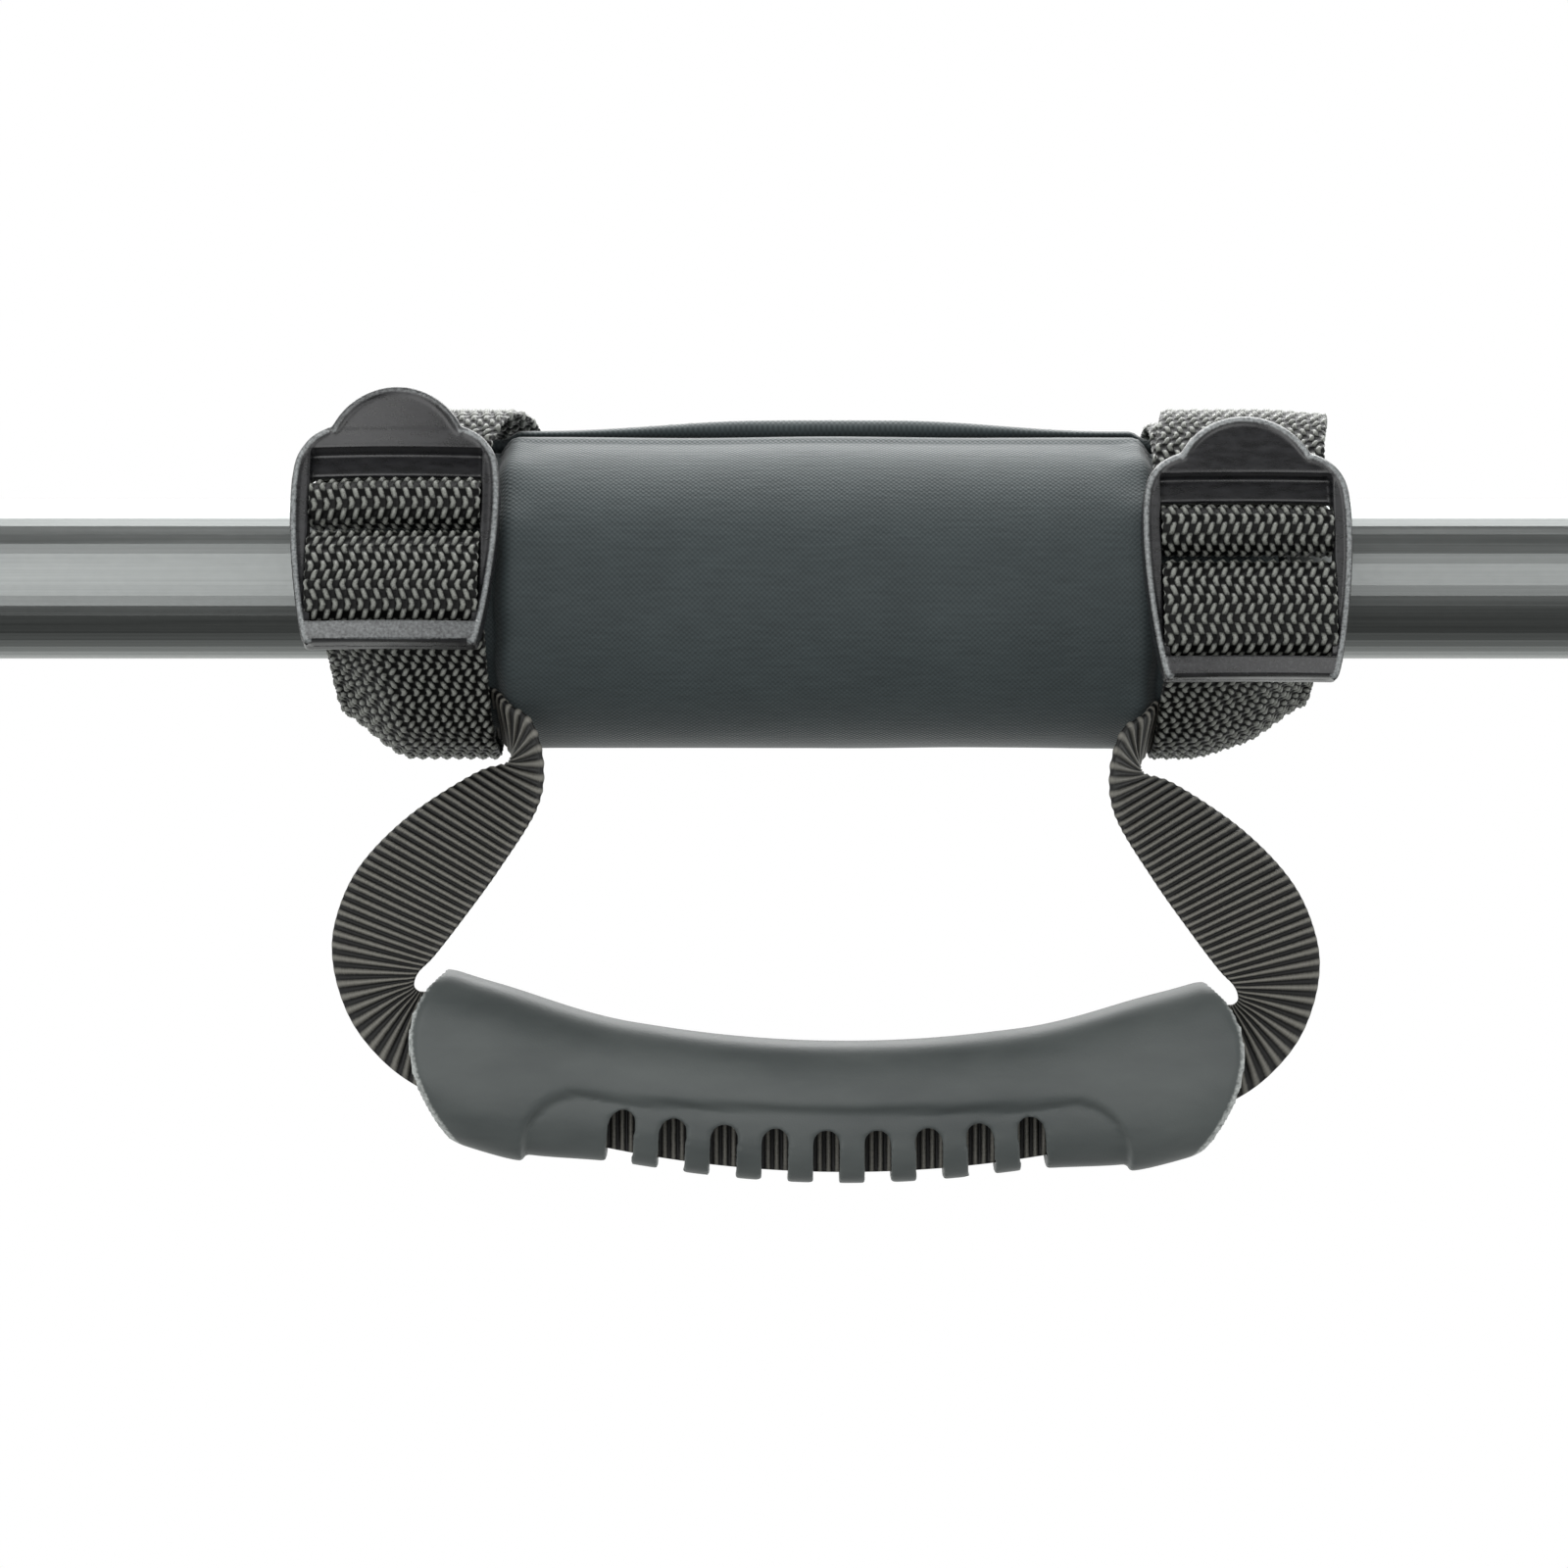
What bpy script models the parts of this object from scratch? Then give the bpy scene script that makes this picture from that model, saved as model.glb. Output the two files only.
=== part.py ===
"""A padded pull handle strapped round a length of round steel tube.

Frame: X runs along the tube, -Y is the front where the buckles sit, +Z is up.
The origin is on the tube's axis, midway between the two straps.
Sizes below are millimetres; MM turns them into Blender's metres.
"""
import math

import bmesh
import bpy
from mathutils import Matrix, Vector

MM = 0.001
GAP = 0.3            # clearance between pieces that touch

# Tube
TUBE_R = 12.7        # a one inch tube
TUBE_WALL = 1.5
TUBE_HALF = 150.0
PLUG_FLANGE = 2.5
PLUG_DEEP = 14.0     # how far each plug reaches into the tube

# Pad roll: its round outside hangs lower than the tube, so its centre is dropped
DROP = 2.6
PAD_R = 25.0
PAD_HALF = 70.0
FILL_HALF = 68.0     # the foam and the lining stop short of the cover's ends
PAD_SQUEEZE = 2.6    # how far each strap pulls the pad in
SQUEEZE_FROM = 46.0  # the squeeze starts here and is full at SQUEEZE_FULL
SQUEEZE_FULL = 49.8
END_DROP = 3.0       # how far the pad's ends draw in
PAD_STATIONS = (42.0, 46.0, 47.3, 48.6, 49.8, 64.0, 67.0, PAD_HALF)
SEAM = 6.0           # half angle of the slit along the top, degrees
RECESS = 2.5         # the pad is thinner where the closing flap lies
COVER = 1.4
LINING_R = 13.0
LINING = 1.0
FLAP_BACK = 88.0     # angle behind the top where the flap is sewn on
FLAP = 2.5
FLAP_CROWN = 0.5     # the flap is this much thicker halfway along
STRIP = 0.8
STRIP_ANGLES = (-54.0, -14.0)
BINDING = (71.2, 71.8)            # outer corner and outer face of each end's binding

# Webbing
STRAP_WIDE = 25.0
STRAP_THICK = 1.5
TAPE_THICK = 1.4
SEWN_ANGLES = (134.0, 176.0)      # the part of the roll that the tape's sewn end covers
STRAP_INNER = 50.3   # where each strap's inner edge crosses the bottom of the roll

# Buckles: centre along the tube, how far the plate leans back, degrees
BUCKLES = {"left": (-66.0, 20.0), "right": (64.0, 13.0)}
BUCKLE_STAND = 27.0  # from the roll's centre to the middle of the plate
BUCKLE_HALF = 15.9
RAIL = 3.0
BUCKLE_FOOT = -20.2
BUCKLE_HEAD = 15.6
BUCKLE_PIVOT = (1.6, -18.4)       # behind and below the plate's centre
WINDOWS = ((-16.6, -12.4), (-3.2, 2.5), (5.3, 12.8))   # heights of the openings in the plate
BAR_FACES = (-1.2, 1.0)           # the crossbars are thinner than the rails
BARS_REACH = (-14.0, 8.0)
TAB_BASE = 13.8
TAB_SPRING = 15.6    # height where the tab's crown starts
TAB_HALF = 10.9
TAB_RISE = 6.2
SLOT_TOP = 2.2       # below the middle line

# Hand loop
LOOP_PIVOT = (-12.0, -34.0)       # Y and Z of the line that the loop swings about
GRIP_Y = -12.0
GRIP_Z = -84.2       # middle of the grip at the centre
GRIP_ARC = 185.0     # radius of the grip's long curve
GRIP_HALF = 64.0
GRIP_HIGH = 23.4
GRIP_DEEP = 18.0
GRIP_WALL = 2.2
END_FLARE = (2.6, 1.2)            # how much taller and deeper the grip's ends are
TIP_TAPER = (3.2, 2.6)            # how much its very tips draw in
GRIP_TILT = -0.0165  # the right end hangs a little lower
SLOT_PITCH = 7.84
SLOT_WIDE = 4.0
SLOTS = 9

# Near and far edges of the tape on one side: (distance from the middle, Y, Z)
FLEX = [((49.8, -20.4, -20.6), (49.9, -3.6, -28.6)),
        ((45.4, -21.0, -24.2), (48.4, -4.2, -30.4)),
        ((43.4, -20.6, -30.4), (50.2, -4.8, -31.8)),
        ((44.9, -20.0, -36.4), (54.6, -5.2, -33.2))]
HANG = [((46.2, -19.4, -39.2), (57.6, -5.8, -34.6)),
        ((50.8, -17.8, -46.2), (66.4, -6.8, -40.4)),
        ((57.4, -16.0, -54.6), (73.6, -8.0, -48.6)),
        ((63.6, -15.6, -59.4), (76.6, -8.8, -56.2)),
        ((67.2, -15.0, -62.4), (77.0, -9.8, -62.8)),
        ((67.2, -13.8, -65.2), (74.4, -10.8, -70.4)),
        ((65.6, -12.6, -66.4), (69.8, -11.7, -76.4)),
        ((62.0, -12.1, -66.2), (64.2, -12.0, -80.8))]
TAPE_HALF = 9.1

METAL = ((0.30, 0.32, 0.32), 0.42, 0.6)
SLATE = ((0.055, 0.065, 0.07), 0.85, 0.0)
BLACK_WEB = ((0.02, 0.02, 0.02), 0.8, 0.0)
BLACK_MOULDED = ((0.03, 0.03, 0.03), 0.4, 0.0)
GREY_RUBBER = ((0.11, 0.12, 0.115), 0.55, 0.0)
FOAM = ((0.03, 0.03, 0.03), 0.95, 0.0)


def clear_scene():
    for obj in list(bpy.data.objects):
        bpy.data.objects.remove(obj, do_unlink=True)


def body(name, place=(0, 0, 0), lean=0.0):
    """An empty on the body's joint axis, which carries the body's pieces."""
    empty = bpy.data.objects.new(name, None)
    bpy.context.collection.objects.link(empty)
    empty.location = Vector(place) * MM
    empty.rotation_euler = (-math.radians(lean), 0, 0)
    bpy.context.view_layer.update()
    return empty


def finish(obj, parent, look, local=None):
    """Gives the piece its material and hangs it on its body."""
    colour, rough, metallic = look
    material = bpy.data.materials.new(obj.name)
    material.use_nodes = True
    shader = material.node_tree.nodes["Principled BSDF"]
    shader.inputs["Base Color"].default_value = (*colour, 1)
    shader.inputs["Roughness"].default_value = rough
    shader.inputs["Metallic"].default_value = metallic
    obj.data.materials.append(material)
    obj.data.shade_smooth()
    obj.data.set_sharp_from_angle(angle=math.radians(35))
    obj.parent = parent
    if local is None:
        obj.matrix_parent_inverse = parent.matrix_world.inverted()
    else:
        obj.location = Vector(local) * MM
    return obj


def add_mesh(name, bm):
    bmesh.ops.recalc_face_normals(bm, faces=bm.faces[:])
    mesh = bpy.data.meshes.new(name)
    bm.to_mesh(mesh)
    bm.free()
    obj = bpy.data.objects.new(name, mesh)
    bpy.context.collection.objects.link(obj)
    return obj


def loft(name, sections, ring=False):
    """A closed solid through a row of outlines; ring joins the last outline to the first."""
    bm = bmesh.new()
    rows = [[bm.verts.new(Vector(point) * MM) for point in section] for section in sections]
    pairs = list(zip(rows, rows[1:]))
    if ring:
        pairs.append((rows[-1], rows[0]))
    for low, high in pairs:
        for i in range(len(low)):
            j = (i + 1) % len(low)
            bm.faces.new((low[i], low[j], high[j], high[i]))
    if not ring:
        bm.faces.new(rows[0])
        bm.faces.new(rows[-1])
    return add_mesh(name, bm)


def ease(value, start, end):
    """0 before start, 1 after end, with a smooth turn between."""
    t = max(0.0, min(1.0, (value - start) / (end - start)))
    return t * t * (3 - 2 * t)


def steps(start, end, count):
    return [start + (end - start) * i / (count - 1) for i in range(count)]


def on_roll(x, angle, radius, drop=DROP):
    """A point at an angle from the top of the roll, positive towards the front."""
    a = math.radians(angle)
    return (x, -math.sin(a) * radius, math.cos(a) * radius - drop)


def flap_zone(angle):
    """1 under the closing flap, which lies from the back of the roll to its top."""
    return ease(angle, -FLAP_BACK - 16, -FLAP_BACK - 2) * (1 - ease(angle, 2, 10))


def strip_zone(angle):
    return ease(angle, -72, -58)


def pad_radius(x, angle):
    x = abs(x)
    squeeze = PAD_SQUEEZE * ease(x, SQUEEZE_FROM, SQUEEZE_FULL)
    end = END_DROP * ease(x, 64, 71)
    return PAD_R - squeeze - end - RECESS * flap_zone(angle)


def flap_inside(x, angle):
    return pad_radius(x, angle) + GAP + (2 * STRIP + 2 * GAP) * strip_zone(angle)


def wrap(name, xs, angles, inside, outside, inner_drop=DROP, outer_drop=DROP):
    """A sheet bent round the roll, between two radius rules."""
    sections = []
    for x in xs:
        outer = [on_roll(x, a, outside(x, a), outer_drop) for a in angles]
        inner = [on_roll(x, a, inside(x, a), inner_drop) for a in reversed(angles)]
        sections.append(outer + inner)
    return loft(name, sections)


def disc(x, radius, sides=48):
    turn = 2 * math.pi / sides
    return [(x, -math.sin(turn * i) * radius, math.cos(turn * i) * radius) for i in range(sides)]


def make_bar(root):
    outer_x = [-TUBE_HALF, -TUBE_HALF / 2, TUBE_HALF / 2, TUBE_HALF]
    sections = [disc(x, TUBE_R) for x in outer_x]
    sections += [disc(x, TUBE_R - TUBE_WALL) for x in reversed(outer_x)]
    finish(loft("bar_tube", sections, ring=True), root, METAL)
    bore = TUBE_R - TUBE_WALL - GAP
    for side, sign in (("left", -1), ("right", 1)):
        start = sign * (TUBE_HALF + GAP)
        rim = TUBE_R - 0.1
        profile = [(start + sign * PLUG_FLANGE, rim - 1.1),
                   (start + sign * (PLUG_FLANGE - 1.0), rim),
                   (start, rim),
                   (start, bore),
                   (start - sign * PLUG_DEEP, bore - 0.4)]
        plug = loft("end_plug_" + side, [disc(x, r, 40) for x, r in profile])
        finish(plug, root, BLACK_MOULDED)


def make_pad(sleeve):
    around = steps(SEAM, 360 - SEAM, 49)
    signed = [a if a <= 180 else a - 360 for a in around]
    along = [-x for x in reversed(PAD_STATIONS)] + [0] + list(PAD_STATIONS)

    lining = wrap("pad_lining", [-FILL_HALF, FILL_HALF], signed,
                  lambda x, a: LINING_R, lambda x, a: LINING_R + LINING, 0, 0)
    finish(lining, sleeve, FOAM)

    shorter = FILL_HALF / PAD_HALF
    foam_x = [x * shorter for x in along]
    foam = wrap("pad_foam", foam_x, signed,
                lambda x, a: LINING_R + LINING + GAP,
                lambda x, a: pad_radius(x / shorter, a) - COVER - GAP, 0, DROP)
    finish(foam, sleeve, FOAM)

    cover = wrap("pad_cover", along, signed,
                 lambda x, a: pad_radius(x, a) - COVER, pad_radius)
    finish(cover, sleeve, SLATE)

    flap_angles = steps(-FLAP_BACK, 1.5, 21)
    flap = wrap("closing_flap", along, flap_angles, flap_inside,
                lambda x, a: flap_inside(x, a) + FLAP + FLAP_CROWN * (1 - ease(abs(x), 0, 44)))
    finish(flap, sleeve, SLATE)

    strip_angles = steps(*STRIP_ANGLES, 10)
    strips = (("loop_strip", GAP), ("hook_strip", 2 * GAP + STRIP))
    for name, lift in strips:
        strip = wrap(name, along[1:-1], strip_angles,
                     lambda x, a, lift=lift: pad_radius(x, a) + lift,
                     lambda x, a, lift=lift: pad_radius(x, a) + lift + STRIP)
        finish(strip, sleeve, BLACK_WEB)

    for side, sign in (("left", -1), ("right", 1)):
        rim_x = [sign * x for x in (PAD_HALF + GAP, *BINDING)]

        def rim(x, a):
            return pad_radius(PAD_HALF, a) - 1.2 * (abs(x) - PAD_HALF)

        binding = wrap("end_binding_" + side, rim_x, signed,
                       lambda x, a: LINING_R + GAP, rim, 0, DROP)
        finish(binding, sleeve, BLACK_WEB)


def ribbon(name, path):
    """Strap webbing along a path of middle points, with its width along the tube."""
    sections = []
    across = Vector((STRAP_WIDE / 2, 0, 0))
    for i, point in enumerate(path):
        along = Vector(path[min(i + 1, len(path) - 1)]) - Vector(path[max(i - 1, 0)])
        out = along.cross(across).normalized() * (STRAP_THICK / 2)
        middle = Vector(point)
        sections.append([middle - across - out, middle + across - out,
                         middle + across + out, middle - across + out])
    return loft(name, sections)


def plate_frame(side):
    """The centre of a buckle's plate and its two directions, up the plate and outwards."""
    x, lean = BUCKLES[side]
    a = math.radians(lean)
    up = Vector((0, math.sin(a), math.cos(a)))
    out = Vector((0, -math.cos(a), math.sin(a)))
    centre = Vector((x, 0, -DROP)) + out * BUCKLE_STAND
    return centre, up, out


def on_plate(side, height, out_by, shift=0.0):
    centre, up, out = plate_frame(side)
    point = centre + up * height + out * out_by
    return (point.x + shift, point.y, point.z)


def over_flap(angle):
    """How far a strap rides up over the closing flap and its two strips."""
    lift = 2 * STRIP + 4 * GAP + FLAP - RECESS + 0.1
    return lift * (1 - ease(angle, 8, 46)) * ease(angle, -128, -84)


def over_tape(angle):
    """How far a strap rides out over the tape's sewn end, below the roll."""
    return (TAPE_THICK + GAP + 0.1) * (1 - ease(angle, -183, -171))


def make_straps(sleeve):
    for side, (x, lean) in BUCKLES.items():
        inward = -1 if x > 0 else 1
        path = []
        foot = on_plate(side, -17.4, -2.9)
        reach = math.hypot(foot[1], foot[2] + DROP)
        rolled = pad_radius(60, 90) + STRAP_THICK / 2 + 2 * GAP + TAPE_THICK
        foot_angle = math.degrees(math.atan2(-foot[1], foot[2] + DROP))
        lift_off = foot_angle + math.degrees(math.acos(rolled / reach)) - 360
        for angle in steps(86 - lean, lift_off, 49):
            radius = pad_radius(60, 90) + STRAP_THICK / 2 + 1.5 * GAP
            radius += max(over_flap(angle), over_tape(angle))
            slide = (abs(x) - STRAP_WIDE / 2 - STRAP_INNER) * (1 - math.cos(math.radians(angle - 20))) / 2
            path.append(on_roll(x + inward * slide, angle, radius))
        end = Vector(on_plate(side, -17.4, -2.9, inward * slide))
        last = Vector(path[-1])
        path += [last.lerp(end, share) for share in (0.5, 1.0)]
        finish(ribbon("strap_" + side, path), sleeve, BLACK_WEB)

        tail = [on_plate(side, 11.6, -3.2)]
        for angle in steps(42 - lean / 2, -28, 12):
            radius = pad_radius(60, 90) + 1.5 * STRAP_THICK + 4 * GAP + over_flap(angle)
            tail.append(on_roll(x, angle, radius))
        finish(ribbon("strap_tail_" + side, tail), sleeve, BLACK_WEB)


def box(bm, low, high):
    made = bmesh.ops.create_cube(bm, size=1.0)["verts"]
    low, high = Vector(low) * MM, Vector(high) * MM
    size = high - low
    bmesh.ops.scale(bm, vec=size, verts=made)
    bmesh.ops.translate(bm, vec=(low + high) / 2, verts=made)


def helper(name, build):
    """A hidden mesh that a Boolean adds or takes away."""
    bm = bmesh.new()
    build(bm)
    obj = add_mesh(name, bm)
    obj.hide_render = True
    obj.display_type = "WIRE"
    return obj


def combine(obj, other, operation):
    modifier = obj.modifiers.new(other.name, "BOOLEAN")
    modifier.object = other
    modifier.operation = operation
    modifier.solver = "EXACT"
    modifier.use_self = True
    return modifier


def tab_outline():
    """The lifting tab: a flat D whose crown is an arc."""
    points = [(-TAB_HALF, TAB_BASE), (TAB_HALF, TAB_BASE)]
    for i in range(13):
        a = math.pi * i / 12
        points.append((TAB_HALF * math.cos(a), TAB_SPRING + TAB_RISE * math.sin(a) ** 0.8))
    return points


def make_buckles(bodies):
    for side in BUCKLES:
        local = (0, -BUCKLE_PIVOT[0], -BUCKLE_PIVOT[1])

        def frame(bm):
            box(bm, (-BUCKLE_HALF, -2.2, BUCKLE_FOOT), (BUCKLE_HALF, 1.7, BUCKLE_HEAD))

        def windows(bm):
            inside = BUCKLE_HALF - RAIL
            for low, high in WINDOWS:
                box(bm, (-inside, -4, low), (inside, 4, high))
            low, high = BARS_REACH
            box(bm, (-inside, BAR_FACES[1], low), (inside, 4, high))
            box(bm, (-inside, -4, low), (inside, BAR_FACES[0], high))

        obj = helper("frame_" + side, frame)
        obj.name = "buckle_" + side
        obj.hide_render = False
        obj.display_type = "TEXTURED"
        windows_cutter = helper("windows_" + side, windows)
        combine(obj, windows_cutter, "DIFFERENCE")
        tab = loft("tab_" + side, [[(x, y, z) for x, z in tab_outline()] for y in (-2.0, 0.2)])
        tab.hide_render = True
        tab.display_type = "WIRE"
        combine(obj, tab, "UNION")
        for tool in (windows_cutter, tab):
            tool.parent = bodies[side]
            tool.location = Vector(local) * MM
        bevel = obj.modifiers.new("soft_edges", "BEVEL")
        bevel.width = 0.5 * MM
        bevel.segments = 2
        bevel.limit_method = "ANGLE"
        finish(obj, bodies[side], BLACK_MOULDED, local)

        def folded(name, outline):
            path = [(0.0, -out_by, height) for height, out_by in outline]
            finish(ribbon(name, path), bodies[side], BLACK_WEB, local)

        over_bar = [(1.35, -1.6), (1.35, 0.0)]
        for i in range(1, 8):
            a = math.pi * i / 8
            over_bar.append((3.9 - 2.55 * math.cos(a), 2.3 * math.sin(a) + 0.3))
        over_bar += [(6.45, 0.0), (6.9, -1.6), (8.4, -2.6)]
        folded("strap_threaded_" + side, over_bar)

        sewn = [(-15.6, -1.8), (-15.1, 0.0), (-14.3, 1.6), (-12.6, 2.3), (-4.4, 2.3),
                (-2.5, 1.8), (-1.6, 0.0), (-2.5, -1.8), (-4.4, -2.3), (-12.4, -2.3)]
        folded("strap_end_" + side, sewn)


def curve_through(points, per_span):
    """A smooth run of points through the given ones (Catmull-Rom)."""
    points = [Vector(p) for p in points]
    padded = [2 * points[0] - points[1]] + points + [2 * points[-1] - points[-2]]
    run = []
    for a, b, c, d in zip(padded, padded[1:], padded[2:], padded[3:]):
        for i in range(per_span):
            t = i / per_span
            run.append(0.5 * (2 * b + (c - a) * t + (2 * a - 5 * b + 4 * c - d) * t ** 2
                              + (3 * b - a - 3 * c + d) * t ** 3))
    run.append(points[-1])
    return run


def tape(name, edges, per_span=2):
    """Flat tape between a near edge and a far edge."""
    near = curve_through([pair[0] for pair in edges], per_span)
    far = curve_through([pair[1] for pair in edges], per_span)
    middle = [(a + b) / 2 for a, b in zip(near, far)]
    sections = []
    for i, (a, b) in enumerate(zip(near, far)):
        along = middle[min(i + 1, len(middle) - 1)] - middle[max(i - 1, 0)]
        out = along.cross(b - a).normalized() * (TAPE_THICK / 2)
        sections.append([a - out, b - out, b + out, a + out])
    return loft(name, sections)


def arc_z(x):
    """Height of the grip's middle line: an arc that rises towards both ends, a little tilted."""
    return GRIP_Z + GRIP_ARC - math.sqrt(GRIP_ARC ** 2 - x ** 2) + GRIP_TILT * x


def placed(pair, sign):
    return [(sign * x, y, z + GRIP_TILT * sign * x) for x, y, z in pair]


def cut_between(first, second, share):
    """The tape's edges partway between two stations."""
    return [tuple(Vector(a).lerp(Vector(b), share)) for a, b in zip(first, second)]


def make_hand_loop(sleeve, loop):
    for side, sign in (("left", -1), ("right", 1)):
        sewn = wrap("tape_sewn_end_" + side, [sign * 50.2, sign * 63.0],
                    steps(*SEWN_ANGLES, 9),
                    lambda x, a: pad_radius(x, a) + GAP,
                    lambda x, a: pad_radius(x, a) + GAP + TAPE_THICK)
        finish(sewn, sleeve, BLACK_WEB)
        flex = [placed(pair, sign) for pair in FLEX]
        finish(tape("tape_flex_" + side, flex), loop, BLACK_WEB)

    inner = [[(x, GRIP_Y, arc_z(x) + TAPE_HALF), (x, GRIP_Y, arc_z(x) - TAPE_HALF)]
             for x in steps(-55, 55, 11)]
    left = [placed(pair, -1) for pair in HANG]
    right = [placed(pair, 1) for pair in reversed(HANG)]
    left[0] = cut_between(left[0], left[1], 0.05)
    finish(tape("hand_tape", left + inner + right), loop, BLACK_WEB)
    make_grip(loop)


def oval(x, high, deep, points=20):
    """A rounded box outline across the grip."""
    outline = []
    for i in range(points):
        a = 2 * math.pi * i / points
        c, s = math.cos(a), math.sin(a)
        y = GRIP_Y + deep / 2 * math.copysign(abs(c) ** 0.7, c)
        z = arc_z(x) + high / 2 * math.copysign(abs(s) ** 0.7, s)
        outline.append((x, y, z))
    return outline


def make_grip(loop):
    shell = []
    stations = steps(-GRIP_HALF, GRIP_HALF, 25)
    for x in stations:
        end = ease(abs(x), 46, 52)
        tip = ease(abs(x), 59, 67)
        high = GRIP_HIGH + END_FLARE[0] * end - TIP_TAPER[0] * tip
        deep = GRIP_DEEP + END_FLARE[1] * end - TIP_TAPER[1] * tip
        shell.append(oval(x, high, deep))
    grip = loft("hand_grip", shell)

    hollow = []
    for x in steps(-GRIP_HALF - 3, GRIP_HALF + 3, 19):
        hollow.append(oval(x, GRIP_HIGH - 2 * GRIP_WALL + 0.2, GRIP_DEEP - 2 * GRIP_WALL, 16))
    cavity = loft("grip_hollow", hollow)
    cavity.hide_render = True
    cavity.display_type = "WIRE"

    def arches(bm):
        for i in range(SLOTS):
            x = (i - (SLOTS - 1) / 2) * SLOT_PITCH
            top = arc_z(x) - SLOT_TOP
            outline = [(x - SLOT_WIDE / 2, arc_z(x) - 20), (x + SLOT_WIDE / 2, arc_z(x) - 20)]
            for k in range(6):
                a = math.pi * k / 5
                outline.append((x + SLOT_WIDE / 2 * math.cos(a),
                                top - SLOT_WIDE / 2 + SLOT_WIDE / 2 * math.sin(a)))
            front = [bm.verts.new(Vector((px, GRIP_Y - 16, pz)) * MM) for px, pz in outline]
            back = [bm.verts.new(Vector((px, GRIP_Y + 16, pz)) * MM) for px, pz in outline]
            bm.faces.new(front)
            bm.faces.new(back)
            for k in range(len(outline)):
                j = (k + 1) % len(outline)
                bm.faces.new((front[k], front[j], back[j], back[k]))

    combine(grip, cavity, "DIFFERENCE")
    combine(grip, helper("grip_slots", arches), "DIFFERENCE")
    finish(grip, loop, GREY_RUBBER)


def main():
    clear_scene()
    root = body("bar")
    sleeve = body("sleeve")
    loop = body("hand_loop", (0, *LOOP_PIVOT))
    buckles = {}
    for side, (x, lean) in BUCKLES.items():
        hinge = on_plate(side, BUCKLE_PIVOT[1], -BUCKLE_PIVOT[0])
        buckles[side] = body("buckle_body_" + side, hinge, lean)
    make_bar(root)
    make_pad(sleeve)
    make_straps(sleeve)
    make_buckles(buckles)
    make_hand_loop(sleeve, loop)


main()
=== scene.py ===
"""Looks for a padded pull handle strapped round a length of steel tube.

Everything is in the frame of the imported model: X along the tube, -Y the front, +Z up.
Sizes are millimetres, and MM turns them into metres when a mesh or a light is made.
"""

import math

import bmesh
import bpy
import numpy as np
from mathutils import Matrix, Vector


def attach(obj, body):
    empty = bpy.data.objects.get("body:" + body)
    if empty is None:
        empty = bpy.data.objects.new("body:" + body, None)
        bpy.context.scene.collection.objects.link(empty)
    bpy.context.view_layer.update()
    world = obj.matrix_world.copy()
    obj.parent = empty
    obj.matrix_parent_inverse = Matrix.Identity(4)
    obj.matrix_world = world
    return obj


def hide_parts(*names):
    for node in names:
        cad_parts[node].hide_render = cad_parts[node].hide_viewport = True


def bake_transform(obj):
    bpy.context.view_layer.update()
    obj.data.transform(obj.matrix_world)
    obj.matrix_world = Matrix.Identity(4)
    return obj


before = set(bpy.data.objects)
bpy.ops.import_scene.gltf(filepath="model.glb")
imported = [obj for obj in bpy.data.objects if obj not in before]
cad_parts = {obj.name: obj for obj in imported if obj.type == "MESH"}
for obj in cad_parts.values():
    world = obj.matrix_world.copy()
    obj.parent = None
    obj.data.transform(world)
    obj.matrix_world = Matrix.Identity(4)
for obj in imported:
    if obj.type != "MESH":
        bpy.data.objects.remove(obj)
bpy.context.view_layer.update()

MM = 0.001
GAP = 0.3            # clearance left between pieces that touch in life

# Pad roll, as the part has it: its centre hangs DROP below the tube's axis
DROP = 2.6
PAD_R = 25.0
PAD_HALF = 70.0
PAD_SQUEEZE = 2.6    # how far the straps press the roll in
STRAPPED_R = PAD_R - PAD_SQUEEZE
PINCH = (48.6, 51.2)     # between these places along the tube the roll narrows to that
ROUNDED = 3.0        # how much smaller the roll is at its very ends
RECESS = 2.5
COVER = 1.4
CREASE_ROOM = 0.15   # the cover lies this much lower, to leave room for its creases
MOST_SWELL = 1.1     # how far the stuffing may push the cover out
SWELL_STEPS = 20
WEAVE = 0.85         # one over and under of the canvas, two threads 0.43 apart
LINING_R = 13.0
SEAM = 6.0
FLAP_BACK = 88.0
FLAP = 2.5
FLAP_ROWS = (-4.6, -80.0, -84.5)     # angles of the flap's rows of stitches
STRIP = 0.8

# Webbing and tape
STRAP_WIDE = 25.0
STRAP_THICK = 1.5
TAPE_THICK = 1.4
STRAP_INNER = 51.4
WIDE_FOLD = 26.2     # the folds in the buckles are pressed a little wider
YARN = 0.96          # width of one column of webbing yarns
FLOAT = 2.92         # length of one yarn float along the webbing
ZIGZAG = 0.5         # how far the yarns lean to one side and back
YARN_HIGH = 0.6
RIB = 1.35           # pitch of the tape's ribs
RIB_HIGH = 0.5

# Buckles: centre along the tube, how far the plate leans back
BUCKLES = {"left": (-66.0, 20.0), "right": (64.0, 13.0)}
BUCKLE_STAND = 27.0
FOOT = (-17.4, -2.9)     # where the strap meets a buckle's foot: up the plate and outwards
CROWN_R = 10.9       # the lifting tab's crown is part of a circle
CROWN_MIDDLE = 10.7
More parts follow.
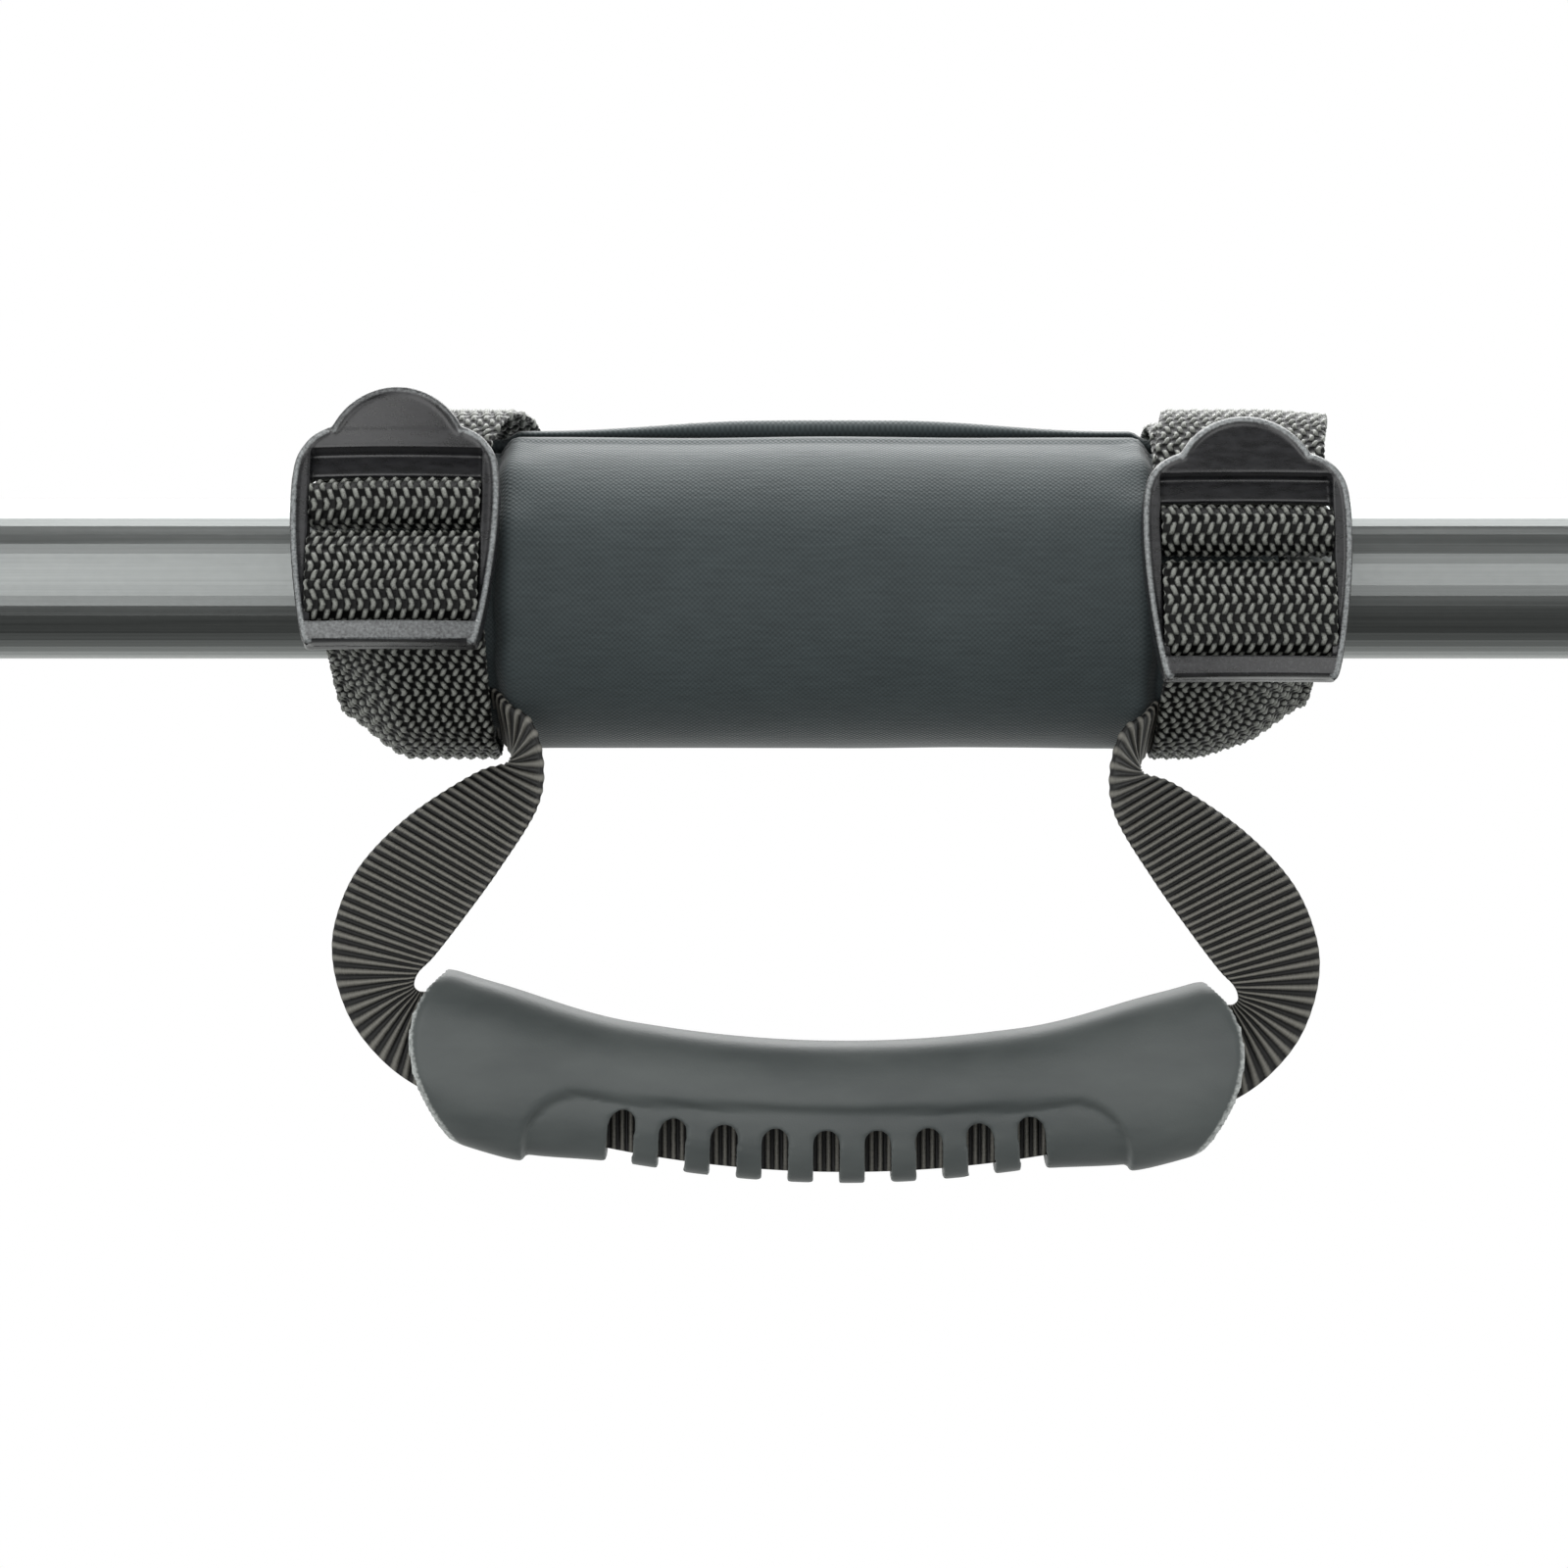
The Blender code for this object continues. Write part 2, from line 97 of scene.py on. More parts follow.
# How far each strap's outer side is pulled in below the tube, and between which places along it
PULLED = {"left": ((7.5, 65.0, 78.0),), "right": ((3.0, 57.0, 70.0), (5.5, 66.0, 77.0))}
SLIP = {"left": 0.0, "right": -1.3}     # the right buckle sits a little lower on its strap
PAINTED_HIGHLIGHT_STRENGTH = {"left": (0.45, 0.5), "right": (1.0, 0.2)}     # how strongly each crown's edge and foot are painted with a pale highlight
TAB_BEND = {"left": -10.0, "right": 7.0}        # each tab has taken its own set, degrees back
TAIL_DRIFT = {"left": 7.0, "right": 4.0}     # how far each strap's tail wanders along the tube
TAIL_SLANT = {"left": 0.176327, "right": -0.052898}     # slant of each tail's cut end

# Hand loop
GRIP_Y = -12.0
GRIP_Z = -84.2
GRIP_ARC = 185.0
GRIP_TILT = -0.0165
GRIP_END = 64.7
GRIP_SQUARE = 0.84   # the grip's section is a little squarer than an ellipse
SLOT_PITCH = 7.84
SLOT_WIDE = 4.0
SLOTS = 9
TAPE_WIDE = 17.5
TAPE_HALF = 9.1      # half the room that the tape's edges keep to inside the grip
SEWN_ANGLES = (134.0, 176.0)
SEWN_STATIONS = ((59.5, 0.7), (55.0, 0.7), (51.6, 0.85), (49.2, 1.9))    # along the tube, and above the roll
LOOP_STATIONS = [
    ((45.6, -21.2, -23.8), (49.4, -4.2, -29.8)),
    ((43.8, -20.8, -30.2), (50.6, -4.8, -30.8)),
    ((44.8, -19.6, -37.2), (55.2, -5.2, -32.0)),
    ((50.6, -17.4, -46.6), (65.6, -6.6, -38.8)),
    ((56.4, -15.8, -54.6), (73.4, -7.8, -47.0)),
    ((60.9, -15.0, -60.4), (77.0, -8.8, -55.4)),
    ((63.4, -14.4, -63.0), (77.2, -9.8, -62.6)),
    ((64.2, -13.4, -65.0), (74.6, -10.8, -70.4)),
    ((63.6, -12.6, -66.0), (70.0, -11.7, -76.4)),
    ((62.0, -12.1, -66.2), (64.2, -12.0, -80.8)),
]


# ---------------------------------------------------------------- shape helpers

def ease(value, start, end):
    """0 before start, 1 after end, with a smooth turn between."""
    t = np.clip((np.asarray(value, float) - start) / (end - start), 0, 1)
    return t * t * (3 - 2 * t)


def on_roll(x, angle, radius, drop=DROP):
    """Points at an angle from the top of the roll, positive towards the front."""
    a = np.radians(angle)
    x, a, radius = np.broadcast_arrays(np.asarray(x, float), a, radius)
    return np.stack([x, -np.sin(a) * radius, np.cos(a) * radius - drop], axis=-1)


def flap_zone(angle):
    """1 where the flap lies on the roll, 0 elsewhere."""
    return ease(angle, -FLAP_BACK - 16, -FLAP_BACK - 2) * (1 - ease(angle, 2, 10))


def pad_radius(x, angle):
    """The roll's outer radius, without the flap."""
    x = np.abs(x)
    narrowing = PAD_SQUEEZE * ease(x, *PINCH) + ROUNDED * ease(x, 64, 71)
    return PAD_R - narrowing - RECESS * flap_zone(angle)


def flap_inside(x, angle):
    """The radius of the flap's underside, raised at the back by the hook and loop strips."""
    return pad_radius(x, angle) + GAP + (2 * STRIP + 2 * GAP) * ease(angle, -72, -58)


def curve_through(points, count=24):
    """A smooth curve through rows of numbers, count samples to a span."""
    points = np.asarray(points, float)
    padded = np.concatenate([[2 * points[0] - points[1]], points, [2 * points[-1] - points[-2]]])
    t = (np.arange(count) / count)[:, None]
    runs = []
    for a, b, c, d in zip(padded, padded[1:], padded[2:], padded[3:]):
        runs.append(0.5 * (2 * b + (c - a) * t + (2 * a - 5 * b + 4 * c - d) * t ** 2
                           + (3 * b - a - 3 * c + d) * t ** 3))
    return np.concatenate(runs + [points[-1:]])


def evenly(points, step):
    """The same run of rows at equal steps along its first three numbers, and the distance at each."""
    gaps = np.linalg.norm(np.diff(points[:, :3], axis=0), axis=1)
    far = np.concatenate([[0], np.cumsum(gaps)])
    at = np.linspace(0, far[-1], max(3, int(round(far[-1] / step)) + 1))
    return np.stack([np.interp(at, far, column) for column in points.T], axis=-1), at


def soft_noise(seed, *grids):
    """Smooth waves between about -1 and 1 over the grids given in millimetres, the same each time."""
    draw = np.random.default_rng(seed)
    total = 0
    for _ in range(9):
        turn = draw.uniform(-1, 1, len(grids))
        turn = turn / np.linalg.norm(turn) / draw.uniform(0.5, 1.6)
        total = total + np.sin(sum(k * g for k, g in zip(turn, grids)) + draw.uniform(0, 6.28))
    return total / 4.5


def columns_across(half, step, round_off):
    """Places from -half to half, close together at the rims so that they can be rounded."""
    rim = half - round_off * (1 - np.cos(np.linspace(0, math.pi / 2, 4)))
    inner = np.linspace(-rim[-1], rim[-1], max(3, int(round(2 * rim[-1] / step)) + 1))
    return np.concatenate([-rim[:-1], inner, rim[:-1][::-1]])


def rim_fall(u, half, round_off):
    """Share of the thickness left near the two rims."""
    inside = np.clip((half - np.abs(u)) / round_off, 0, 1)
    return 0.12 + 0.88 * np.sqrt(1 - (1 - inside) ** 2)


def placed_object(name, mesh):
    obj = bpy.data.objects.new(name, mesh)
    bpy.context.collection.objects.link(obj)
    return obj


def mesh_of(name, points, faces, uv=None):
    """An object from numpy points in millimetres and quads, with UVs in millimetres."""
    mesh = bpy.data.meshes.new(name)
    faces = np.asarray(faces, np.int32)
    mesh.vertices.add(len(points))
    mesh.vertices.foreach_set("co", (np.asarray(points) * MM).astype(np.float32).ravel())
    mesh.loops.add(faces.size)
    mesh.loops.foreach_set("vertex_index", faces.ravel())
    mesh.polygons.add(len(faces))
    mesh.polygons.foreach_set("loop_start", np.arange(0, faces.size, 4, dtype=np.int32))
    mesh.update(calc_edges=True)
    if uv is not None:
        layer = mesh.uv_layers.new(name="UVMap")
        layer.data.foreach_set("uv", uv[faces.ravel()].astype(np.float32).ravel())
    mesh.shade_smooth()
    return placed_object(name, mesh)


def points_of(mesh):
    """A mesh's points in millimetres."""
    points = np.empty(len(mesh.vertices) * 3, np.float32)
    mesh.vertices.foreach_get("co", points)
    return points.reshape(-1, 3) / MM


def mark_painted_highlight(obj, painted_highlight):
    """Stores how strongly each point is painted with a pale highlight, from 0 to 1, for its finish to read.
    """
    layer = obj.data.attributes.new("painted_highlight", "FLOAT", "POINT")
    layer.data.foreach_set("value", painted_highlight.astype(np.float32))


def grid_quads(rows, cols):
    """The quads between the points of a grid."""
    index = np.arange(rows * cols).reshape(rows, cols)
    corners = [index[:-1, :-1], index[:-1, 1:], index[1:, 1:], index[1:, :-1]]
    return np.stack(corners, axis=-1).reshape(-1, 4)


def tube_faces(rows, cols):
    """The quads of a tube of rows of points, with a cap of quads at each end."""
    index = np.arange(rows * cols).reshape(rows, cols)
    after = np.roll(index, -1, axis=1)
    walls = np.stack([index[:-1], after[:-1], after[1:], index[1:]], axis=-1).reshape(-1, 4)
    i = np.arange(cols // 2 - 1)
    cap = np.stack([i, i + 1, cols - 2 - i, cols - 1 - i], axis=-1)
    return np.concatenate([walls, index[0][cap[:, ::-1]], index[-1][cap]])


def sheet_solid(name, middle, thick, outward, relief=0.0, u=None, v=None, under=0.0):
    """A closed sheet round a grid of middle points. Relief stands on its outward side, under on the other."""
    rows, cols = middle.shape[:2]
    along = np.gradient(middle, axis=0)
    across = np.gradient(middle, axis=1)
    normal = np.cross(across, along) * outward
    normal /= np.maximum(np.linalg.norm(normal, axis=-1, keepdims=True), 1e-9)
    thick = np.broadcast_to(thick, (rows, cols))
    top = middle + normal * (thick / 2 + relief)[..., None]
    bottom = middle - normal * (thick / 2 + under)[..., None]
    points = np.concatenate([top.reshape(-1, 3), bottom.reshape(-1, 3)])
    index = np.arange(rows * cols).reshape(rows, cols)
    upper = grid_quads(rows, cols)
    lower = upper[:, ::-1] + rows * cols
    loop = np.concatenate([index[0, :-1], index[:-1, -1], index[-1, :0:-1], index[:0:-1, 0]])
    after = np.roll(loop, -1)
    wall = np.stack([after, loop, loop + rows * cols, after + rows * cols], axis=-1)
    faces = np.concatenate([upper, lower, wall])
    if outward < 0:
        faces = faces[:, ::-1]
    uv = None
    if u is not None:
        flat = np.stack(np.broadcast_arrays(u, v), axis=-1).reshape(-1, 2)
        uv = np.concatenate([flat, flat])
    return mesh_of(name, points, faces, uv)


def tidy_up(obj, body, slot, finish, *nodes):
    """Gives a piece its material and body, and hides the CAD nodes that it stands for; slot is not used."""
    obj.data.materials.clear()
    obj.data.materials.append(finish)
    if body is not None:
        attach(obj, body)
    if nodes:
        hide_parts(*nodes)
    return obj


def apply_modifiers(obj):
    """Puts what the modifiers make into the mesh itself."""
    bpy.context.view_layer.update()
    graph = bpy.context.evaluated_depsgraph_get()
    mesh = bpy.data.meshes.new_from_object(obj.evaluated_get(graph))
    obj.modifiers.clear()
    old = obj.data
    obj.data = mesh
    bpy.data.meshes.remove(old)
    return obj


def drop(*objects):
    for obj in objects:
        bpy.data.objects.remove(obj, do_unlink=True)


def extruded(name, outline, near, far):
    """A flat plate from an outline of (x, z) points, between two Y places."""
    bm = bmesh.new()
    rings = [[bm.verts.new((x * MM, y * MM, z * MM)) for x, z in outline] for y in (near, far)]
    for i in range(len(outline)):
        j = (i + 1) % len(outline)
        bm.faces.new((rings[0][i], rings[0][j], rings[1][j], rings[1][i]))
    for ring in rings:
        bm.faces.new(ring)
    bmesh.ops.recalc_face_normals(bm, faces=bm.faces[:])
    mesh = bpy.data.meshes.new(name)
    bm.to_mesh(mesh)
    bm.free()
    return placed_object(name, mesh)


def block(name, low, high):
    (x0, y0, z0), (x1, y1, z1) = low, high
    return extruded(name, [(x0, z0), (x1, z0), (x1, z1), (x0, z1)], y0, y1)


def tube_along(name, path, radius, sides):
    """A round cord along a dense path of points, closed at both ends."""
    path = np.asarray(path, float)
    along = np.gradient(path, axis=0)
    along /= np.linalg.norm(along, axis=1, keepdims=True)
    side = np.cross(along, np.tile([0.03, 1.0, 0.02], (len(path), 1)))
    side /= np.linalg.norm(side, axis=1, keepdims=True)
    other = np.cross(along, side)
    turn = np.linspace(0, 2 * math.pi, sides, endpoint=False)
    ring = side[:, None] * np.cos(turn)[None, :, None] + other[:, None] * np.sin(turn)[None, :, None]
    radius = np.broadcast_to(radius, len(path))
    points = path[:, None] + ring * radius[:, None, None]
    return mesh_of(name, points.reshape(-1, 3), tube_faces(len(path), sides))


def cut(obj, cutter):
    """Cuts one solid from another and removes the cutter."""
    modifier = obj.modifiers.new("cut", "BOOLEAN")
    modifier.object = cutter
    modifier.operation = "DIFFERENCE"
    modifier.solver = "EXACT"
    apply_modifiers(obj)
    drop(cutter)
    return obj


def joined(name, parts):
    """One object that holds the meshes of all the parts."""
    bm = bmesh.new()
    for part in parts:
        bm.from_mesh(part.data)
    mesh = bpy.data.meshes.new(name)
    bm.to_mesh(mesh)
    bm.free()
    drop(*parts)
    mesh.shade_smooth()
    return placed_object(name, mesh)


def mould(parts, name, voxel, passes):
    """Melts overlapping solids into one skin with moulded, rounded edges."""
    obj = joined(name, parts)
    remesh = obj.modifiers.new("skin", "REMESH")
    remesh.mode = "VOXEL"
    remesh.voxel_size = voxel * MM
    smooth = obj.modifiers.new("round", "SMOOTH")
    smooth.factor = 0.5
    smooth.iterations = passes
    apply_modifiers(obj)
    obj.data.shade_smooth()
    return obj


def stitch_row(points, normals, long=2.3, gap=0.9, thread=0.24):
    """Sunk thread stitches along a line on a surface: each one's path, and its radius along it."""
    line, far = evenly(np.concatenate([points, normals], axis=1), 0.23)
    made = []
    start = gap
    while start + long < far[-1]:
        rows = line[(far >= start) & (far <= start + long)]
        share = np.linspace(0, 1, len(rows))
        high = 0.32 * np.sin(math.pi * share) ** 0.5 - 0.12
        normal = rows[:, 3:] / np.linalg.norm(rows[:, 3:], axis=1, keepdims=True)
        radius = thread * (0.35 + 0.65 * np.sin(math.pi * share) ** 0.4)
        made.append((rows[:, :3] + normal * high[:, None], radius))
        start += long + gap
    return made


def stitches(name, runs):
    """One object of many short threads."""
    return joined(name, [tube_along("thread", path, radius, 6) for path, radius in runs])


# ---------------------------------------------------------------- finishes

def linear(code):
    """The linear colour of an sRGB hex value."""
    parts = [int(code[i:i + 2], 16) / 255 for i in (1, 3, 5)]
    return [*(c / 12.92 if c <= 0.04045 else ((c + 0.055) / 1.055) ** 2.4 for c in parts), 1.0]


def set_inputs(tree, node, inputs):
    """Gives a node's sockets their values, or links them from other sockets."""
    for name, value in inputs.items():
        if isinstance(value, bpy.types.NodeSocket):
            tree.links.new(value, node.inputs[name])
        else:
            node.inputs[name].default_value = value


def add(tree, kind, inputs, out=0, **settings):
    """Adds a node with its settings, values and links, and gives one of its outputs."""
    node = tree.nodes.new(kind)
    for name, value in settings.items():
        setattr(node, name, value)
    set_inputs(tree, node, inputs)
    return node.outputs[out]


def new_finish(name, **values):
    """A material and its tree and shader, with the shader's own even values set on its sockets."""
    made = bpy.data.materials.new(name)
    made.use_nodes = True
    shader = made.node_tree.nodes["Principled BSDF"]
    for socket, value in values.items():
        shader.inputs[socket.replace("_", " ")].default_value = value
    return made, made.node_tree, shader


def grain(tree, size, detail=2.0, stretch=(1, 1, 1), where="Object", unit=MM):
    """Lumps about size millimetres across, drawn out by stretch, as a value from 0 to 1."""
    place = add(tree, "ShaderNodeTexCoord", {}, where)
    scale = [1 / (size * unit * s) for s in stretch]
    scaled = add(tree, "ShaderNodeMapping", {"Vector": place, "Scale": scale})
    return add(tree, "ShaderNodeTexNoise", {"Vector": scaled, "Scale": 1.0, "Detail": detail}, "Fac")


def colour_and_relief(tree, shader, tone, low, high, height, raised):
    """Colours a surface between two hex values by its tone, and raises it by height, raised mm at most."""
    shades = {0: tone, 6: linear(low), 7: linear(high)}
    set_inputs(tree, shader, {
        "Base Color": add(tree, "ShaderNodeMix", shades, 2, data_type="RGBA"),
        "Normal": add(tree, "ShaderNodeBump", {"Height": height, "Distance": raised * MM, "Strength": 1.0})})


def across_and_along(tree):
    """The across and along sockets of a woven piece's own coordinates, in millimetres."""
    across = add(tree, "ShaderNodeSeparateXYZ", {0: add(tree, "ShaderNodeTexCoord", {}, "UV")})
    return across, across.node.outputs[1]


def painted_pale_highlight(tree, base, pale, speck, least):
    """The base colour, painted pale in specks as a highlight where the piece's painted highlight value is
    high.
    """
    painted_highlight = add(tree, "ShaderNodeAttribute", {}, "Fac", attribute_name="painted_highlight")
    grit = grain(tree, speck, 3.0)
    specks = add(tree, "ShaderNodeMath", {0: painted_highlight, 1: grit}, operation="MULTIPLY")
    share = add(tree, "ShaderNodeMapRange", {0: specks, 1: least, 2: 0.6})
    return add(tree, "ShaderNodeMix", {0: share, 6: base, 7: linear(pale)}, 2, data_type="RGBA")


def webbing_finish():
    """Black polypropylene webbing: glossy twisted yarns in a zigzag twill, their crests painted pale as
    highlights and the gaps between them painted black as shade.
    """
    made, tree, shader = new_finish("woven_polypropylene_webbing", Roughness=0.38, IOR=1.49)
    u, v = across_and_along(tree)
    zig = add(tree, "ShaderNodeMath", {0: v, 1: FLOAT}, operation="PINGPONG")
    lean = add(tree, "ShaderNodeMath", {0: zig, 1: 2 * ZIGZAG / FLOAT, 2: u}, operation="MULTIPLY_ADD")
    place = add(tree, "ShaderNodeMath", {0: lean, 1: YARN}, operation="DIVIDE")
    column = add(tree, "ShaderNodeMath", {0: place}, operation="FLOOR")
    odd = add(tree, "ShaderNodeMath", {0: column, 1: 2.0}, operation="FLOORED_MODULO")
    along = add(tree, "ShaderNodeMath", {0: v, 1: FLOAT}, operation="DIVIDE")
    phase = add(tree, "ShaderNodeMath", {0: odd, 1: 0.5, 2: along}, operation="MULTIPLY_ADD")
    bows = []
    for value, sharp in ((place, 1.0), (phase, 2.3)):
        share = add(tree, "ShaderNodeMath", {0: value}, operation="FRACT")
        off = add(tree, "ShaderNodeMath", {0: share, 1: 0.5}, operation="SUBTRACT")
        square = add(tree, "ShaderNodeMath", {0: off, 1: off}, operation="MULTIPLY")
        bows.append(add(tree, "ShaderNodeMapRange", {0: square, 1: 0.0, 2: 0.25 / sharp, 3: 1.0, 4: 0.0}))
    crest = add(tree, "ShaderNodeMath", {0: bows[0], 1: bows[1]}, operation="MULTIPLY")
    fibres = grain(tree, 0.25, 3.0, where="UV", unit=1.0)
    lit = add(tree, "ShaderNodeMath", {0: fibres, 1: crest}, operation="MULTIPLY")
    # colour runs from painted shade in the gaps to a painted highlight on the yarn crests
    tone = add(tree, "ShaderNodeMapRange", {0: lit, 1: 0.04, 2: 0.42})
    shine = add(tree, "ShaderNodeMapRange", {0: lit, 1: 0.05, 2: 0.3, 3: 0.15, 4: 0.55})
    lift = add(tree, "ShaderNodeMath", {0: fibres, 1: 0.25, 2: crest}, operation="MULTIPLY_ADD")
    colour_and_relief(tree, shader, tone, "#0a0a0a", "#8b8d87", lift, 0.12)
    set_inputs(tree, shader, {"Specular IOR Level": shine})
    return made


def tape_finish():
    """Black grosgrain tape: round weft ribs with a dull sheen, their tops painted pale as highlights and the
    furrows between them painted black as shade.
    """
    made, tree, shader = new_finish("woven_grosgrain_tape", Roughness=0.55, IOR=1.5)
    _, v = across_and_along(tree)
    turn = add(tree, "ShaderNodeMath", {0: v, 1: 2 * math.pi / RIB}, operation="MULTIPLY")
    wave = add(tree, "ShaderNodeMath", {0: turn}, operation="COSINE")
    fibres = grain(tree, 0.3, 3.0, (1.0, 3.0, 1.0), "UV", 1.0)
    mixed = add(tree, "ShaderNodeMath", {0: fibres, 1: 0.9, 2: wave}, operation="MULTIPLY_ADD")
    # colour runs from painted shade in the furrows to a painted highlight on the rib tops
    tone = add(tree, "ShaderNodeMapRange", {0: mixed, 1: 0.1, 2: 1.5})
    colour_and_relief(tree, shader, tone, "#040404", "#7d7b74", fibres, 0.06)
    return made


def canvas_finish():
    """Slate nylon canvas: a plain weave of fine threads, a faint slub and a soft bloom at glancing angles."""
    made, tree, shader = new_finish("woven_nylon_canvas", Roughness=0.72, IOR=1.5, Sheen_Weight=0.3,
                                    Sheen_Roughness=0.4)
    waves = []
    for value in across_and_along(tree):
        turn = add(tree, "ShaderNodeMath", {0: value, 1: 2 * math.pi / WEAVE}, operation="MULTIPLY")
        waves.append(add(tree, "ShaderNodeMath", {0: turn}, operation="SINE"))
    cloth = add(tree, "ShaderNodeMath", {0: waves[0], 1: waves[1]}, operation="MULTIPLY")
    slub = grain(tree, 0.7, 2.0, (7.0, 1.0, 1.0), "UV", 1.0)
    cloud = grain(tree, 14.0, 3.0, where="UV", unit=1.0)
    height = add(tree, "ShaderNodeMath", {0: slub, 1: 0.6, 2: 0.2}, operation="MULTIPLY_ADD")
    for pattern, share in ((cloth, 0.3), (cloud, 0.5)):
        height = add(tree, "ShaderNodeMath", {0: pattern, 1: share, 2: height}, operation="MULTIPLY_ADD")
    tone = add(tree, "ShaderNodeMapRange", {0: height, 1: 0.3, 2: 1.2})
    colour_and_relief(tree, shader, tone, "#283032", "#414b4d", height, 0.09)
    return made


def lumpy_finish(name, low, high, lump, raised, **values):
    """A dull surface of small lumps, its hollows a little darker than its tops."""
    made, tree, shader = new_finish(name, **values)
    lumps = grain(tree, lump, 3.0)
    tone = add(tree, "ShaderNodeMapRange", {0: lumps, 1: 0.3, 2: 0.7})
    colour_and_relief(tree, shader, tone, low, high, lumps, raised)
    return made


def hook_and_loop_finish():
    """Woven nylon hook and loop strip: matt black, its fine hooks drawn as coarser 0.5 mm lumps."""
    return lumpy_finish("woven_hook_and_loop", "#0a0a0b", "#232425", 0.5, 0.15, Roughness=0.9, IOR=1.5,
                        Sheen_Weight=0.2)


def binding_finish():
    """Woven nylon binding: dull slate black, its threads drawn as 0.5 mm lumps."""
    return lumpy_finish("woven_nylon_binding", "#14181a", "#2c3335", 0.5, 0.15, Roughness=0.7, IOR=1.5,
                        Sheen_Weight=0.2)


def plug_finish():
    """Moulded polyethylene: waxy black with a shallow grain."""
    return lumpy_finish("moulded_polyethylene", "#161617", "#222224", 0.6, 0.04, Roughness=0.48, IOR=1.51)


def foam_finish():
    """Closed-cell EVA foam: matt black with a skin of small open cells."""
    made, tree, shader = new_finish("closed_cell_eva_foam", Roughness=0.9, IOR=1.45)
    place = add(tree, "ShaderNodeTexCoord", {}, "Object")
    cells = add(tree, "ShaderNodeTexVoronoi", {"Vector": place, "Scale": 1 / (0.6 * MM)}, "Distance")
    colour_and_relief(tree, shader, cells, "#101112", "#2a2b2c", cells, 0.2)
    return made


def nylon_finish():
    """Injection-moulded black nylon: a low gloss, a fine moulded grain, and edges painted pale as highlights.
    """
    made, tree, shader = new_finish("moulded_black_nylon", IOR=1.53, Specular_IOR_Level=0.62)
    pores = grain(tree, 0.22, 2.0)
    scuffs = grain(tree, 3.0, 5.0, (1.0, 1.0, 0.3))
    tone = add(tree, "ShaderNodeMapRange", {0: scuffs, 1: 0.35, 2: 0.75})
    shades = {0: tone, 6: linear("#18181a"), 7: linear("#2a2a2d")}
    base = add(tree, "ShaderNodeMix", shades, 2, data_type="RGBA")
    set_inputs(tree, shader, {
        "Base Color": painted_pale_highlight(tree, base, "#a3a7a8", 0.45, 0.1),
        "Roughness": add(tree, "ShaderNodeMapRange", {0: scuffs, 1: 0.3, 2: 0.7, 3: 0.24, 4: 0.34}),
        "Normal": add(tree, "ShaderNodeBump", {"Height": pores, "Distance": 0.02 * MM, "Strength": 1.0})})
    return made


def rubber_finish():
    """Moulded thermoplastic rubber: slate grey, silky, with a pale highlight painted along the rims of the
    mouths.
    """
    made, tree, shader = new_finish("moulded_thermoplastic_rubber", IOR=1.5, Specular_IOR_Level=0.45)
    pores = grain(tree, 0.3, 2.0)
    cloud = grain(tree, 9.0, 4.0, (2.5, 1.0, 1.0))
    tone = add(tree, "ShaderNodeMapRange", {0: cloud, 1: 0.3, 2: 0.72})
    shades = {0: tone, 6: linear("#4b5050"), 7: linear("#5f6463")}
    base = add(tree, "ShaderNodeMix", shades, 2, data_type="RGBA")
    set_inputs(tree, shader, {
        "Base Color": painted_pale_highlight(tree, base, "#c4c8c6", 0.6, 0.18),
        "Roughness": add(tree, "ShaderNodeMapRange", {0: cloud, 1: 0.3, 2: 0.7, 3: 0.42, 4: 0.52}),
        "Normal": add(tree, "ShaderNodeBump", {"Height": pores, "Distance": 0.03 * MM, "Strength": 1.0})})
    return made


def steel_finish():
    """Drawn steel tube with a dark satin plating: long soft streaks along its length."""
    made, tree, shader = new_finish("satin_plated_steel", Metallic=1.0)
    streaks = grain(tree, 0.5, 4.0, (160.0, 1.0, 1.0))
    dust = grain(tree, 1.1, 5.0)
    tone = add(tree, "ShaderNodeMapRange", {0: streaks, 1: 0.3, 2: 0.7})
    blotch = add(tree, "ShaderNodeMath", {0: dust, 1: 0.5, 2: streaks}, operation="MULTIPLY_ADD")
    rough = add(tree, "ShaderNodeMapRange", {0: blotch, 1: 0.5, 2: 1.0, 3: 0.3, 4: 0.38})
    colour_and_relief(tree, shader, tone, "#7d807f", "#8b8e8d", streaks, 0.006)
    set_inputs(tree, shader, {"Roughness": rough})
    return made


def thread_finish():
    """Bonded polyester thread: slightly shiny, twisted."""
    made, tree, shader = new_finish("bonded_polyester_thread", Roughness=0.45, IOR=1.55)
    shades = {0: grain(tree, 0.3, 2.0), 6: linear("#1d2122"), 7: linear("#4c5354")}
    set_inputs(tree, shader, {"Base Color": add(tree, "ShaderNodeMix", shades, 2, data_type="RGBA")})
    return made


# ---------------------------------------------------------------- webbing and straps

def webbing_relief(u, v):
    """Height of the webbing's yarns, from 0 to 1, across and along it in millimetres."""
    zig = FLOAT - np.abs(np.mod(v, 2 * FLOAT) - FLOAT)
    place = (u + zig * 2 * ZIGZAG / FLOAT) / YARN
    odd = np.mod(np.floor(place), 2)
    phase = v / FLOAT + 0.5 * odd
    across = np.clip(1 - 4 * (place - np.floor(place) - 0.5) ** 2, 0, 1)
    along = np.clip(1 - 9 * (phase - np.floor(phase) - 0.5) ** 2, 0, 1)
    return across * along


